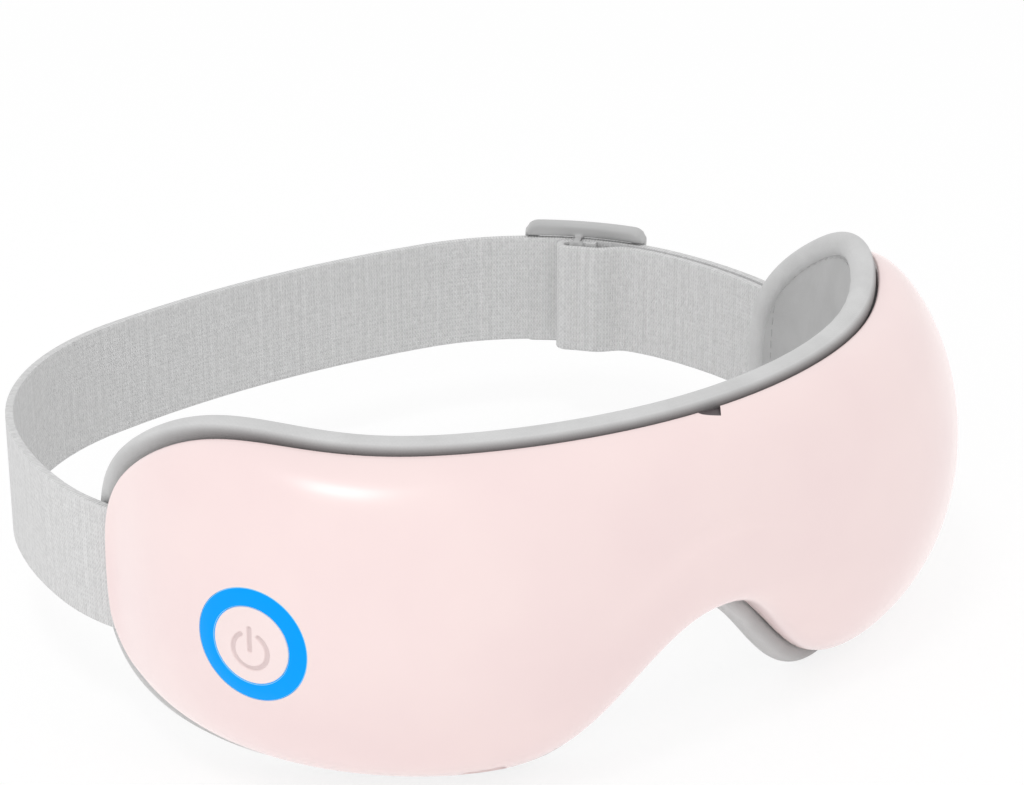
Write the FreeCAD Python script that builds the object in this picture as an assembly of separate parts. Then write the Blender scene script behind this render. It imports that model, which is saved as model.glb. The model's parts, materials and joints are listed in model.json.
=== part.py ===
import FreeCAD, Part
import math
import os

# Eye massager: a glossy wrap-round cover, a padded face side, an elastic head strap.
# +X is to the right seen from the front, the front faces -Y, +Z is up.
# All lengths are in millimetres and all angles in degrees.

# Plan of the cover's rim: part of an ellipse round the face.
rim_half_width = 98.0
rim_half_depth = 83.5
wrap_reach = 84.5          # angle at which the rim's two edges would meet
cover_reach_share = 0.994  # where the cover's thin ends stop
cavity_reach_share = 0.858 # where its hollow stops

# Heights of the rim above and below the strap's centre line.
bridge_rise = 38.0
lobe_rise = 7.2
lobe_share = 0.787         # places along the wrap are shares of its reach
lobe_spread_share = 0.2071
top_end_power = 3.2
notch_drop = 4.9
lobe_drop = 29.0
notch_share = 0.1645
notch_power = 2.2
low_end_power = 3.0

# Swell of the cover in front of its rim.
bulge_depth = 24.0
bulge_end_power = 4.3
bulge_fall_power = 1.7
wing_end_thick = 1.2
wing_end_power = 8.0
bridge_dip_share = 0.56
bridge_spread_share = 0.355
cover_wall = 2.0
rim_land = 6.2
pry_notch_width = 4.5
pry_notch_drop = 1.9
pry_notch_lean = 2.2

# How finely the lofts follow the wrap.
# The places close up where the two edges climb or fall away.
wrap_shares = (0, 0.047, 0.077, 0.107, 0.136, 0.166, 0.201, 0.249, 0.308, 0.367, 0.426, 0.485)
wrap_shares += (0.544, 0.604, 0.651, 0.698, 0.734, 0.769, 0.805, 0.84, 0.87, 0.9, 0.929, 0.953, 0.972)
roll_top_shares = (0, 0.237, 0.473, 0.663, 0.781, 0.864, 0.923, 0.97, 1.01, 1.04)
roll_low_shares = (0, 0.053, 0.107, 0.16, 0.213, 0.308, 0.402, 0.497, 0.56, 0.686, 0.769, 0.84, 0.9, 0.955, 1, 1.035)
least_step_share = 0.0142
bow_steps = 8
roll_steps = 40

# Shared clearances.
seat_gap = 0.1
slide_gap = 0.3
overrun = 30.0

# Inner frame, which closes the cover and carries the works.
frame_thick = 1.8
frame_inset = 3.7
frame_reach_share = 0.9408
post_root = 2.0
screw_share = 0.7337
screw_rise = 22.0
screw_radius = 1.1
screw_head_radius = 2.0
screw_head_thick = 1.0
screw_length = 6.5
boss_radius = 2.8

# Padded roll and face lining.
roll_radius = 2.9
roll_layer_step = 3.45     # how far the pad stands in at its ends for each layer of strap outside it
roll_reach_share = 1.0592
roll_end_power = 7.0
roll_sink = 0.4
roll_top_power = 3.0
seam_width = 0.8
roll_low = -0.3
roll_low_power = 4.6
level_room = 0.01
foot_flat = 0.5
lining_thick = 1.6
lining_crown = 1.4
lining_stand = 2.6
lining_gap = 0.4
lining_reach_share = 1.006
lining_end_power = 5.0

# Airbags and warming films, one pair for each eye.
bag_shares = (0.1657, 0.71)
bag_edge = 7.5
bag_thick = 1.9
film_thick = 0.3
film_edge = 3.0
nipple_radius = 1.4
feed_share = 0.2249
feed_rise = 14.0
link_share = 0.2012
link_rise = 22.0

# Power button, light ring and the cup behind them.
button_share = -0.6544
button_turn = 92.4         # down the swell from its upper edge
ring_outer = 12.3
ring_inner = 8.6
ring_depth = 3.6
ring_sink = 0.6
cap_sink = 0.3
button_travel = 0.8
cap_gap = 0.3
flange_grow = 0.7
flange_thick = 0.9
stem_radius = 1.5
cup_wall = 1.4
cup_start = 2.5
cup_floor = 1.0
board_thick = 1.0
switch_side = 6.0
switch_height = 2.0
plunger_radius = 1.6
plunger_height = 1.0
led_count = 8
led_side = 1.6
led_height = 0.9

# Main board with its charging socket.
board_share = -0.355
board_width = 26.0
board_height = 40.0
board_low = -23.0
board_stand = 4.0
board_post = 3.0
socket_width = 9.0
socket_thick = 3.2
socket_height = 7.8
socket_wall = 0.4
socket_jut = 5.5
tongue_thick = 0.7
tongue_gap = 0.9
chip_side = 7.0
chip_thick = 1.1
chip_rises = (4.0, 27.0)

# Battery.
battery_share = 0.426
battery_width = 34.0
battery_height = 20.0
battery_thick = 6.5
battery_low = 5.0
pack_round = 2.0
seat_stand = 0.6
seat_margin = 3.0

# Air pump and release valve.
pump_share = 0.4497
pump_rise = -6.0
pump_stand = 0.8
pump_motor_radius = 6.0
pump_motor_length = 19.0
pump_head_length = 11.0
pump_head_side = 12.4
valve_share = 0.6414
valve_rise = -4.0
valve_width = 10.0
valve_depth = 8.0
valve_height = 15.0
tube_radius = 1.6
tube_clear = 0.5

# Vibration motors with their off-centre weights.
shaker_share = 0.1657
shaker_radius = 3.0
shaker_length = 11.0
shaker_low = 0.0
shaker_stand = 4.6
shaft_radius = 0.6
shaft_length = 5.6
weight_radius = 2.8
weight_height = 4.0
weight_gap = 0.8
cradle_width = 5.0

# Elastic strap: arcs of one smooth loop, from the middle of the back forwards.
# The loop is drawn at these sizes, then fitted to the bars in the two wings.
strap_width = 28.0
strap_thick = 1.8
back_radius = 240.0
back_turn = 11.0
corner_radius = 62.5
corner_turn = 62.0
side_radius = 100.0
near_radius = 52.0
entry_radius = 30.0
entry_turn = 17.0
entry_run = 22.0
entry_lean = 26.28         # between the strap's end and the wing that it goes into
bar_share = 0.7303
bar_out = 3.62
tail_run = 8.0
bar_thick = 0.8
bar_wide = 5.0
bar_gap = 0.15
bar_hold = 3.0
bar_wall = 2.9
window_gap = 1.0

# Slide buckle on the strap's right rear corner.
buckle_turn = 37.0         # along the corner arc, from its start
buckle_length = 31.0
buckle_bar = 3.6
buckle_bar_thick = 2.0
buckle_rail = 1.8
buckle_centre_bar = 4.0
buckle_lug = 1.0
buckle_edge_round = 0.7
loop_tail = 7.0
loop_run = 6.0
loop_bend = 8.0

cover_reach = wrap_reach * cover_reach_share
cavity_reach = wrap_reach * cavity_reach_share
frame_reach = wrap_reach * frame_reach_share
roll_reach = wrap_reach * roll_reach_share
lining_reach = wrap_reach * lining_reach_share
lobe_angle = wrap_reach * lobe_share
lobe_spread = wrap_reach * lobe_spread_share
notch_angle = wrap_reach * notch_share
bridge_spread = wrap_reach * bridge_spread_share
screw_angle = wrap_reach * screw_share
feed_angle = wrap_reach * feed_share
link_angle = wrap_reach * link_share
button_angle = wrap_reach * button_share
board_angle = wrap_reach * board_share
battery_angle = wrap_reach * battery_share
pump_angle = wrap_reach * pump_share
valve_angle = wrap_reach * valve_share
shaker_angle = wrap_reach * shaker_share
bar_angle = wrap_reach * bar_share

V = FreeCAD.Vector
UP = V(0, 0, 1)


def rim_point(angle):
    a = math.radians(angle)
    return V(rim_half_width * math.sin(a), -rim_half_depth * math.cos(a), 0)


def outward(angle):
    a = math.radians(angle)
    return V(math.sin(a) / rim_half_width, -math.cos(a) / rim_half_depth, 0).normalize()


def at(angle, out, height):
    return rim_point(angle) + outward(angle) * out + UP * height


def end_fall(angle, reach, power):
    share = min(abs(angle) / reach, 1)
    return (1 - share ** power) ** (1 / power)


def top_edge(angle, extra=0, reach=wrap_reach, power=top_end_power):
    lobe = math.exp(-((abs(angle) - lobe_angle) / lobe_spread) ** 2)
    return end_fall(angle, reach, power) * (bridge_rise + lobe_rise * lobe + extra)


def low_edge(angle, extra=0, reach=wrap_reach, power=low_end_power):
    lobe = 1 - math.exp(-(abs(angle) / notch_angle) ** notch_power)
    return -end_fall(angle, reach, power) * (notch_drop + lobe_drop * lobe + extra)


def bulge(angle):
    share = min(abs(angle) / wrap_reach, 1)
    dip = bridge_dip_share * math.exp(-(angle / bridge_spread) ** 2)
    swell = bulge_depth * (1 - share ** bulge_end_power) ** bulge_fall_power * (1 - dip)
    return math.hypot(swell, wing_end_thick * share ** wing_end_power)


def bow_point(angle, turn, wall=0, edge=0):
    # One point of a half-oval section: turn runs from the top edge, over the swell, to the lower edge.
    high = top_edge(angle) - edge
    low = low_edge(angle) + edge
    out = (bulge(angle) - wall) * math.sin(turn)
    return at(angle, out, (high + low) / 2 + (high - low) / 2 * math.cos(turn))


def bow(angle):
    # The section's outline as two quarters of an oval, closed along the rim.
    high = at(angle, 0, top_edge(angle))
    low = at(angle, 0, low_edge(angle))
    centre = (high + low) / 2
    front = bow_point(angle, math.pi / 2)
    quarter = math.pi / 2
    if (high - centre).Length > (front - centre).Length:
        oval = Part.Ellipse(high, front, centre)
        first = 0
    else:
        oval = Part.Ellipse(front, low, centre)
        first = -quarter
    arcs = [Part.Arc(oval, first + i * quarter, first + (i + 1) * quarter).toShape() for i in range(2)]
    return Part.Wire(Part.__sortEdges__(arcs + [line(low, high)]))


def hollow(angle, wall, edge):
    # The space inside the section, as a many-sided outline.
    points = [bow_point(angle, math.pi * i / bow_steps, wall, edge) for i in range(bow_steps + 1)]
    return Part.makePolygon(points + points[:1])


def line(a, b):
    return Part.makeLine(a, b)


def places(first, last, shares=wrap_shares):
    least = wrap_reach * least_step_share
    marks = [wrap_reach * share for share in shares]
    return [first] + [a for a in marks if first + least < a < last - least] + [last]


def stations(reach, shares=wrap_shares):
    half = places(0, reach, shares)
    return [-a for a in half[:0:-1]] + half


def band(angles, inner, outer, low, high):
    # A curved plate: a four-sided section carried round the wrap.
    wires = []
    for a in angles:
        corners = [at(a, inner(a), low(a)), at(a, outer(a), low(a))]
        corners += [at(a, outer(a), high(a)), at(a, inner(a), high(a))]
        wires.append(Part.makePolygon(corners + corners[:1]))
    return Part.makeLoft(wires, True, True)


def stand(shape, angle, height=0):
    # Local X runs along the wrap, local Y towards the face, local Z up.
    face = outward(angle) * -1
    turn = math.degrees(math.atan2(-face.x, face.y))
    placed = shape.copy()
    place = FreeCAD.Placement(rim_point(angle) + UP * height, FreeCAD.Rotation(UP, turn))
    placed.Placement = place.multiply(shape.Placement)
    return placed


def block(width, depth, height, x=0, y=0, z=0):
    return Part.makeBox(width, depth, height, V(x - width / 2, y, z))


def rod(radius, length, start, direction=UP):
    return Part.makeCylinder(radius, length, start, direction)


def button_frame():
    # Local Z runs inwards along the cover's normal at the button's centre.
    step = math.radians(1)
    middle = math.radians(button_turn)
    along = bow_point(button_angle + 1, middle) - bow_point(button_angle - 1, middle)
    down = bow_point(button_angle, middle + step) - bow_point(button_angle, middle - step)
    inwards = along.cross(down).normalize() * -1
    if inwards.dot(outward(button_angle)) > 0:
        inwards = inwards * -1
    turn = FreeCAD.Rotation(V(1, 0, 0), V(0, 0, 0), inwards, "ZXY")
    return FreeCAD.Placement(bow_point(button_angle, middle), turn)


def on_button(shape):
    placed = shape.copy()
    placed.Placement = button_frame().multiply(shape.Placement)
    return placed


def disc(radius, start, length):
    return Part.makeCylinder(radius, length, UP * start)


def ring(outer, inner, start, length):
    return disc(outer, start, length).cut(disc(inner, start, length))


def cavity(wall, edge):
    return Part.makeLoft([hollow(a, wall, edge) for a in stations(cavity_reach)], True, True)


def cover_blank():
    body = Part.makeLoft([bow(a) for a in stations(cover_reach)], True, True)
    return body.cut(cavity(cover_wall, rim_land))


def socket_place(shape):
    return stand(shape, board_angle, board_low - socket_jut)


def socket_prism(grow, height):
    # The charging socket's mouth: a flat oval standing on the board's outer face.
    half = socket_thick / 2 + grow
    flat = socket_width / 2 - socket_thick / 2
    middle = -(board_stand + board_thick + socket_thick / 2)
    oval = block(2 * flat, 2 * half, height, 0, middle - half)
    for side in (-1, 1):
        oval = oval.fuse(rod(half, height, V(side * flat, middle, 0)))
    return oval.removeSplitter()


def pry_notch():
    # A fingernail gap in the middle of the cover's upper rim: one upright side, one leaning side.
    high = top_edge(0)
    half = pry_notch_width / 2
    corners = [V(half, 0, high - pry_notch_drop), V(-half, 0, high - pry_notch_drop)]
    corners += [V(-half - pry_notch_lean, 0, high + overrun), V(half, 0, high + overrun)]
    outline = Part.Face(Part.makePolygon(corners + corners[:1]))
    outline.translate(rim_point(0) - V(0, rim_land, 0))
    return outline.extrude(V(0, overrun, 0))


def screw_sites():
    return [(side * screw_angle, screw_rise) for side in (-1, 1)]


def cover_bosses():
    bosses = []
    for a, z in screw_sites():
        post = rod(boss_radius, overrun, V(0, -seat_gap, 0), V(0, -1, 0))
        post = post.cut(rod(screw_radius, screw_length, V(0, 0, 0), V(0, -1, 0)))
        bosses.append(stand(post, a, z))
    return bosses


def front_cover(blank):
    room = cavity(cover_wall / 2, rim_land / 2)
    body = blank.fuse([boss.common(room) for boss in cover_bosses()])
    body = body.cut(on_button(disc(ring_outer + seat_gap, -overrun, 2 * overrun)))
    slot = socket_prism(slide_gap, overrun)
    slot.translate(UP * (socket_height - overrun))
    body = body.cut(socket_place(slot))
    return body.cut(pry_notch())


def light_ring():
    return on_button(ring(ring_outer, ring_inner, ring_sink, ring_depth - ring_sink))


def flange_top():
    return ring_depth + slide_gap


def stem_end():
    return flange_top() + flange_thick + slide_gap + button_travel


def power_button():
    body = disc(ring_inner - cap_gap, cap_sink, flange_top() - cap_sink)
    body = body.fuse(disc(ring_inner + flange_grow, flange_top(), flange_thick))
    body = body.fuse(disc(stem_radius, flange_top(), stem_end() - flange_top()))
    return on_button(body.removeSplitter())


def switch_top():
    return stem_end() + seat_gap + plunger_height


def switch_plunger():
    return on_button(disc(plunger_radius, stem_end() + seat_gap, plunger_height + button_travel))


def tact_switch():
    body = block(switch_side, switch_side, switch_height, 0, -switch_side / 2, switch_top())
    bore = disc(plunger_radius + slide_gap, switch_top(), 2 * button_travel + slide_gap)
    return on_button(body.cut(bore))


def board_top():
    return switch_top() + switch_height


def button_board():
    corners = []
    for i in range(led_count + 1):
        turn = math.pi * (2 * i + 1) / led_count
        corners.append(V(math.cos(turn), math.sin(turn), 0) * ring_outer + UP * board_top())
    return on_button(Part.Face(Part.makePolygon(corners)).extrude(UP * board_thick))


def ring_leds():
    lamps = []
    reach = (ring_inner + ring_outer) / 2
    for i in range(led_count):
        lamp = block(led_side, led_side, led_height, reach, -led_side / 2, board_top() - led_height)
        lamp.rotate(V(0, 0, 0), UP, 360 * i / led_count)
        lamps.append(on_button(lamp))
    return Part.makeCompound(lamps)


def button_cup(blank):
    inside = ring_outer + slide_gap
    depth = board_top() + board_thick + cup_floor
    wall = ring(inside + cup_wall, inside, cup_start, depth - cup_start)
    floor = disc(inside + cup_wall, depth - cup_floor, cup_floor)
    cup = on_button(wall.fuse(floor).removeSplitter())
    return cup.cut([blank, mirrored(strap_room())])


def frame_back(angle=0):
    return -seat_gap - frame_thick


def strap_end():
    # Where the strap's centre line meets the right anchor bar, and the heading it has there.
    a = math.radians(bar_angle)
    rim_heading = 180 - math.degrees(math.atan2(rim_half_depth * math.sin(a), rim_half_width * math.cos(a)))
    return at(bar_angle, bar_out, 0), rim_heading - entry_lean


def drawn_plan():
    # Steps of the strap's centre line on the right, from the middle of the back to the anchor bar.
    # Each step is a radius and a turn to the right; a straight run has no radius.
    side_turn = 90 - back_turn - corner_turn
    near_turn = strap_end()[1] + entry_turn - 90
    steps = [(back_radius, back_turn), (corner_radius, corner_turn), (side_radius, side_turn)]
    return steps + [(near_radius, near_turn), (entry_radius, -entry_turn), (0, entry_run)]


def drawn_end():
    return walk(V(0, 0, 0), 0, drawn_plan())[-1][0]


def strap_fit():
    # How much the drawn loop grows, so that its ends lie on the bars.
    return strap_end()[0].x / drawn_end().x


def strap_plan():
    fit = strap_fit()
    return [(radius * fit, amount if radius else amount * fit) for radius, amount in drawn_plan()]


def corner_bend():
    return corner_radius * strap_fit()


def walk(start, heading, steps):
    # Places and headings along a chain of tangent arcs and straight runs.
    stops = [(start, heading)]
    for radius, amount in steps:
        if radius == 0:
            start = start + facing(heading) * amount
        else:
            hand = math.copysign(1, amount)
            hub = start + right_of(heading) * radius * hand
            heading = heading + amount
            start = hub - right_of(heading) * radius * hand
        stops.append((start, heading))
    return stops


def facing(heading):
    a = math.radians(heading)
    return V(math.cos(a), -math.sin(a), 0)


def right_of(heading):
    a = math.radians(heading)
    return V(-math.sin(a), -math.cos(a), 0)


def ribbon(start, heading, steps, grow=0):
    # A strap standing on edge: the chain's two sides, closed at both ends, drawn up to the strap's width.
    half = strap_thick / 2 + grow
    stops = walk(start, heading, steps)
    sides = []
    for side in (-half, half):
        edges = []
        for (place, face), (radius, amount), (after, next_face) in zip(stops, steps, stops[1:]):
            first = place + right_of(face) * side
            last = after + right_of(next_face) * side
            if radius == 0:
                edges.append(line(first, last))
                continue
            hand = math.copysign(1, amount)
            hub = place + right_of(face) * radius * hand
            middle = hub - right_of(face + amount / 2) * (radius * hand - side)
            edges.append(Part.Arc(first, middle, last).toShape())
        sides.append(edges)
    caps = []
    for place, face in (stops[0], stops[-1]):
        caps.append(line(place - right_of(face) * half, place + right_of(face) * half))
    outline = Part.Wire(Part.__sortEdges__(sides[0] + sides[1] + caps))
    high = strap_width / 2 + grow
    strip = Part.Face(outline).extrude(UP * 2 * high)
    strip.translate(UP * -high)
    return strip


def back_middle():
    return V(0, strap_end()[0].y - drawn_end().y * strap_fit(), 0)


def turn_radius():
    return bar_thick / 2 + bar_gap + strap_thick / 2


def mirrored(shape):
    return shape.mirror(V(0, 0, 0), V(1, 0, 0))


def sewn_plan():
    return strap_plan() + [(turn_radius(), 180), (0, tail_run)]


def strap_room():
    # The space that the strap's sewn end needs in the wing.
    return ribbon(back_middle(), 0, sewn_plan(), seat_gap)


def strap_band():
    # From the sewn end at the left bar, round the back, through the buckle, to the right bar.
    right = ribbon(back_middle(), 0, strap_plan())
    left = mirrored(ribbon(back_middle(), 0, sewn_plan()))
    return left.fuse(right).removeSplitter()


def bar_centre():
    place, heading = walk(back_middle(), 0, strap_plan())[-1]
    return place + right_of(heading) * turn_radius(), heading


def anchor_bar(grow=0):
    # A flat bar with round edges that stands inside the strap's turned end.
    place, heading = bar_centre()
    half = bar_thick / 2 + grow
    reach = bar_wide - bar_thick
    high = strap_width / 2 + window_gap + bar_hold + grow
    back = place - facing(heading) * reach
    side = right_of(heading) * half
    corners = [place + side, back + side, back - side, place - side]
    body = Part.Face(Part.makePolygon(corners + corners[:1])).extrude(UP * 2 * high)
    for p in (place, back):
        body = body.fuse(rod(half, 2 * high, p))
    body = body.removeSplitter()
    body.translate(UP * -high)
    return body


def corner_hub():
    stops = walk(back_middle(), 0, strap_plan())
    return stops[1][0] + right_of(stops[1][1]) * corner_bend()


def sector(inner, outer, first, last, low, high):
    # A block bent round the strap's rear corner, between two headings.
    hub = corner_hub()
    spots = []
    for radius in (inner, outer):
        spots.append([hub - right_of(h) * radius for h in (first, (first + last) / 2, last)])
    near, far = spots
    edges = [Part.Arc(*near).toShape(), Part.Arc(*far).toShape()]
    edges += [line(near[i], far[i]) for i in (0, 2)]
    body = Part.Face(Part.Wire(Part.__sortEdges__(edges))).extrude(UP * (high - low))
    body.translate(UP * low)
    return body


def arc_degrees(length):
    return math.degrees(length / corner_bend())


def buckle_layers():
    # Radii, from the outside in: end bars, strap, folded tail, middle bar, return layer.
    half = strap_thick / 2
    bar_in = corner_bend() + half + slide_gap
    tail = corner_bend() - strap_thick - slide_gap
    middle_out = tail - half - slide_gap
    middle_in = middle_out - buckle_bar_thick
    return bar_in, tail, middle_out, middle_in, middle_in - slide_gap - half


def buckle_heading():
    return back_turn + buckle_turn


def slide_buckle():
    bar_in, tail, middle_out, middle_in, inner = buckle_layers()
    half = arc_degrees(buckle_length / 2)
    wide = arc_degrees(buckle_bar)
    centre = buckle_heading()
    first = centre - half
    last = centre + half
    clear = strap_width / 2 + slide_gap
    top = clear + buckle_rail
    outer = bar_in + buckle_bar_thick
    lug = arc_degrees(buckle_centre_bar / 2 + buckle_lug)
    frame = sector(bar_in, outer, first, first + wide, -top, top)
    for low, high in ((clear, top), (-top, -clear)):
        frame = frame.fuse(sector(bar_in, outer, first, last, low, high))
        frame = frame.fuse(sector(middle_in, outer, centre - lug, centre + lug, low, high))
    frame = frame.fuse(sector(bar_in, outer, last - wide, last, -top, top))
    reach = arc_degrees(buckle_centre_bar / 2)
    frame = frame.fuse(sector(middle_in, middle_out, centre - reach, centre + reach, -top, top))
    frame = frame.removeSplitter()
    ends = [e for e in frame.Edges if abs(e.BoundBox.ZLength - 2 * top) < slide_gap]
    return frame.makeFillet(buckle_edge_round, ends)


def triangle_angle(far, near_a, near_b):
    # The angle between two sides of a triangle, from its three lengths.
    return math.degrees(math.acos((near_a ** 2 + near_b ** 2 - far ** 2) / (2 * near_a * near_b)))


def strap_return():
    # The sewn loop round the buckle's middle bar, then the inner layer back to the right bar.
    bar_in, tail, middle_out, middle_in, inner = buckle_layers()
    fold = buckle_heading() - arc_degrees(buckle_centre_bar / 2)
    tail_turn = arc_degrees(loop_tail)
    run_turn = math.degrees(loop_run / inner)
    apart = 2 * turn_radius()
    layer = corner_bend() - apart
    # Two opposite bends take the inner layer out to where it runs beside the outer one.
    leave = triangle_angle(layer - loop_bend, inner + loop_bend, 2 * loop_bend)
    passed = triangle_angle(2 * loop_bend, inner + loop_bend, layer - loop_bend)
    rest = back_turn + corner_turn - fold - run_turn - passed
    steps = [(tail, -tail_turn), ((tail - inner) / 2, -180), (inner, run_turn)]
    steps += [(loop_bend, -leave), (loop_bend, leave + passed), (layer, rest)]
    for radius, amount in strap_plan()[2:]:
        steps.append((radius and radius - math.copysign(apart, amount), amount))
    steps.append((turn_radius(), -180))
    start = corner_hub() - right_of(fold + tail_turn) * tail
    return ribbon(start, fold + tail_turn + 180, steps)


def roll_step(angle, power=roll_end_power):
    # Near its ends the pad stands further in, which leaves room for the strap outside it:
    # one layer on the left, two on the right.
    layers = 1 if angle < 0 else 2
    return layers * roll_layer_step * min(abs(angle) / roll_reach, 1) ** power


def roll_out(angle):
    return -seat_gap - roll_radius - roll_step(angle)


def roll_top(angle):
    return top_edge(angle, -roll_sink, roll_reach, roll_top_power)


def roll_low_edge(angle):
    return low_edge(angle, roll_low, roll_reach, roll_low_power)


def roll_path():
    # The roll's closed centre line: along the top, round the right end, back below, round the left end.
    # The line's points close up towards the two ends, where it turns over.
    steps = range(-roll_steps, roll_steps + 1)
    angles = [roll_reach * math.sin(math.pi / 2 * i / roll_steps) for i in steps]
    points = [at(a, roll_out(a), roll_top(a)) for a in angles]
    points += [at(a, roll_out(a), roll_low_edge(a)) for a in angles[-2:0:-1]]
    path = Part.BSplineCurve()
    path.interpolate(Points=points, PeriodicFlag=True)
    return path, min(p.z for p in points)


def roll_hoop(centre, along, out, floor):
    # A circle in two arcs, with a flat on its outer side: a seam's width, or as wide as the floor makes it.
    out = (out - along * out.dot(along)).normalize()
    away = out.cross(along)
    drop = math.sqrt(roll_radius ** 2 - (seam_width / 2) ** 2)
    if away.z * drop < floor + level_room - centre.z:
        # A hoop that stands on the floor is turned until its flat is level.
        out = UP.cross(along).normalize()
        away = out.cross(along)
        drop = (floor - centre.z) / away.z
    half = math.sqrt(roll_radius ** 2 - drop ** 2)
    back = centre - away * roll_radius
    edges = []
    corners = []
    for side in (-1, 1):
        corner = centre + away * drop + out * half * side
        corners.append(corner)
        edges.append(Part.Arc(corner, centre + out * roll_radius * side, back).toShape())
    edges.append(line(*corners))
    return Part.Wire(Part.__sortEdges__(edges))


def foot_face(strip):
    # A strip of the roll's flat that lies on the floor, as a true plane that looks down.
    corners = [corner.Point for corner in strip.OuterWire.OrderedVertexes]
    plane = Part.Face(Part.makePolygon(corners + corners[:1]))
    if plane.normalAt(0, 0).z > 0:
        plane.reverse()
    return plane


def pad_roll():
    # A stuffed tube round the whole face side, flat where the massager stands on it.
    path, lowest = roll_path()
    floor = lowest - roll_radius + foot_flat
    marks = [(a, roll_top(a)) for a in stations(roll_reach, roll_top_shares)]
    marks += [(a, roll_low_edge(a)) for a in stations(roll_reach, roll_low_shares)[-2:0:-1]]
    hoops = []
    for angle, height in marks:
        turn = path.parameter(at(angle, roll_out(angle), height))
        hoops.append(roll_hoop(path.value(turn), path.tangent(turn)[0], outward(angle), floor))
    tube = Part.makeLoft(hoops, True, True, True)
    skin = Part.Shell([foot_face(f) if f.BoundBox.ZMax - floor < level_room else f for f in tube.Faces])
    skin.sewShape()
    return Part.Solid(skin).removeSplitter()


def lean(edge, angle):
    # How much longer an upright drop is than the distance square to a sloping edge.
    run = (rim_point(angle + 1) - rim_point(angle - 1)).Length
    return math.hypot(1, (edge(angle + 1) - edge(angle - 1)) / run)


def lining_high(angle):
    return roll_top(angle) - (roll_radius + lining_gap) * lean(roll_top, angle)


def lining_low(angle):
    return roll_low_edge(angle) + (roll_radius + lining_gap) * lean(roll_low_edge, angle)


def face_lining():
    # A thin cushion between the rolls, flat towards the frame and crowned towards the face.
    wires = []
    for a in stations(lining_reach):
        front = frame_back() - lining_stand - roll_step(a, lining_end_power)
        back = front - lining_thick
        high = lining_high(a)
        low = lining_low(a)
        crown = at(a, back - lining_crown, (high + low) / 2)
        edges = [line(at(a, front, low), at(a, front, high)), line(at(a, front, high), at(a, back, high))]
        edges.append(Part.Arc(at(a, back, high), crown, at(a, back, low)).toShape())
        edges.append(line(at(a, back, low), at(a, front, low)))
        wires.append(Part.Wire(edges))
    return Part.makeLoft(wires, True, True)


def lobe_sheet(side, out, thick, edge, trim):
    first, last = [wrap_reach * share + s * trim for share, s in zip(bag_shares, (1, -1))]
    angles = [side * a for a in places(first, last)]
    low = lambda a: lining_low(a) + edge
    high = lambda a: lining_high(a) - edge
    return band(angles, lambda a: out - thick, lambda a: out, low, high)


def nipple_sites(side):
    sites = [(side * link_angle, link_rise)]
    if side > 0:
        sites.append((feed_angle, feed_rise))
    return sites


def nipple(angle, height, radius, inner, outer):
    return stand(rod(radius, outer - inner, V(0, -inner, 0), V(0, -1, 0)), angle, height)


def bag_out():
    return frame_back() - seat_gap


def airbag(side):
    bag = lobe_sheet(side, bag_out(), bag_thick, bag_edge - roll_radius, 0)
    for angle, height in nipple_sites(side):
        bag = bag.fuse(nipple(angle, height, nipple_radius, bag_out() - bag_thick / 2, nipple_length()))
    return bag


def warming_film(side):
    out = bag_out() - bag_thick - seat_gap
    trim = math.degrees(film_edge / rim_half_depth)
    return lobe_sheet(side, out, film_thick, bag_edge - roll_radius + film_edge, trim)


def tube_stand():
    # Far enough out for the straight link tube to clear the frame in the middle.
    middle = rim_half_depth + tube_radius + tube_clear
    return middle / math.cos(math.radians(link_angle)) - rim_half_depth


def nipple_length():
    return tube_stand() + tube_radius


def hose(first, first_along, last, last_along):
    # A straight tube between two nipples, let in round each of them.
    start = first + first_along * tube_stand()
    run = last + last_along * tube_stand() - start
    tube = rod(tube_radius, run.Length, start, run)
    ends = ((first, first_along), (last, last_along))
    return tube.cut([rod(nipple_radius + seat_gap, overrun, place, along) for place, along in ends])


def link_tube():
    # Joins the two airbags over the bridge of the nose.
    ends = []
    for angle in (-link_angle, link_angle):
        ends += [at(angle, 0, link_rise), outward(angle)]
    return hose(*ends)


def pump_end():
    half = (pump_motor_length + pump_head_length) / 2
    middle = -(pump_stand + pump_head_side / 2)
    return half, middle


def feed_tube():
    # From the pump's spout to the right airbag.
    half, middle = pump_end()
    along = outward(pump_angle).cross(UP)
    spout = at(pump_angle, -middle, pump_rise) + along * half
    return hose(spout, along, at(feed_angle, 0, feed_rise), outward(feed_angle))


def pump_motor():
    half, middle = pump_end()
    start = V(half - pump_motor_length, middle, 0)
    return stand(rod(pump_motor_radius, pump_motor_length, start, V(1, 0, 0)), pump_angle, pump_rise)


def pump_head():
    half, middle = pump_end()
    side = pump_head_side
    head = Part.makeBox(pump_head_length, side, side, V(-half, middle - side / 2, -side / 2))
    edges = [e for e in head.Edges if abs(e.BoundBox.XLength - pump_head_length) < seat_gap]
    head = head.makeFillet(seat_margin / 2, edges)
    spout = rod(nipple_radius, nipple_length(), V(-half, middle, 0), V(-1, 0, 0))
    return stand(head.fuse(spout), pump_angle, pump_rise)


def pump_cradle():
    half, middle = pump_end()
    wide = pump_motor_length / 2
    bed = block(wide, post_root - middle, 2 * pump_motor_radius, half - wide, middle, -pump_motor_radius)
    bed = bed.cut(rod(pump_motor_radius + seat_gap, overrun, V(0, middle, 0), V(1, 0, 0)))
    return stand(bed, pump_angle, pump_rise)


def air_valve():
    body = block(valve_width, valve_depth, valve_height, 0, -valve_depth - seat_stand)
    uprights = [e for e in body.Edges if abs(e.BoundBox.ZLength - valve_height) < seat_gap]
    spigot = rod(nipple_radius, seat_stand - bag_out(), V(0, -seat_stand, valve_height / 2), V(0, 1, 0))
    return stand(body.makeFillet(seat_stand, uprights).fuse(spigot), valve_angle, valve_rise)


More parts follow.
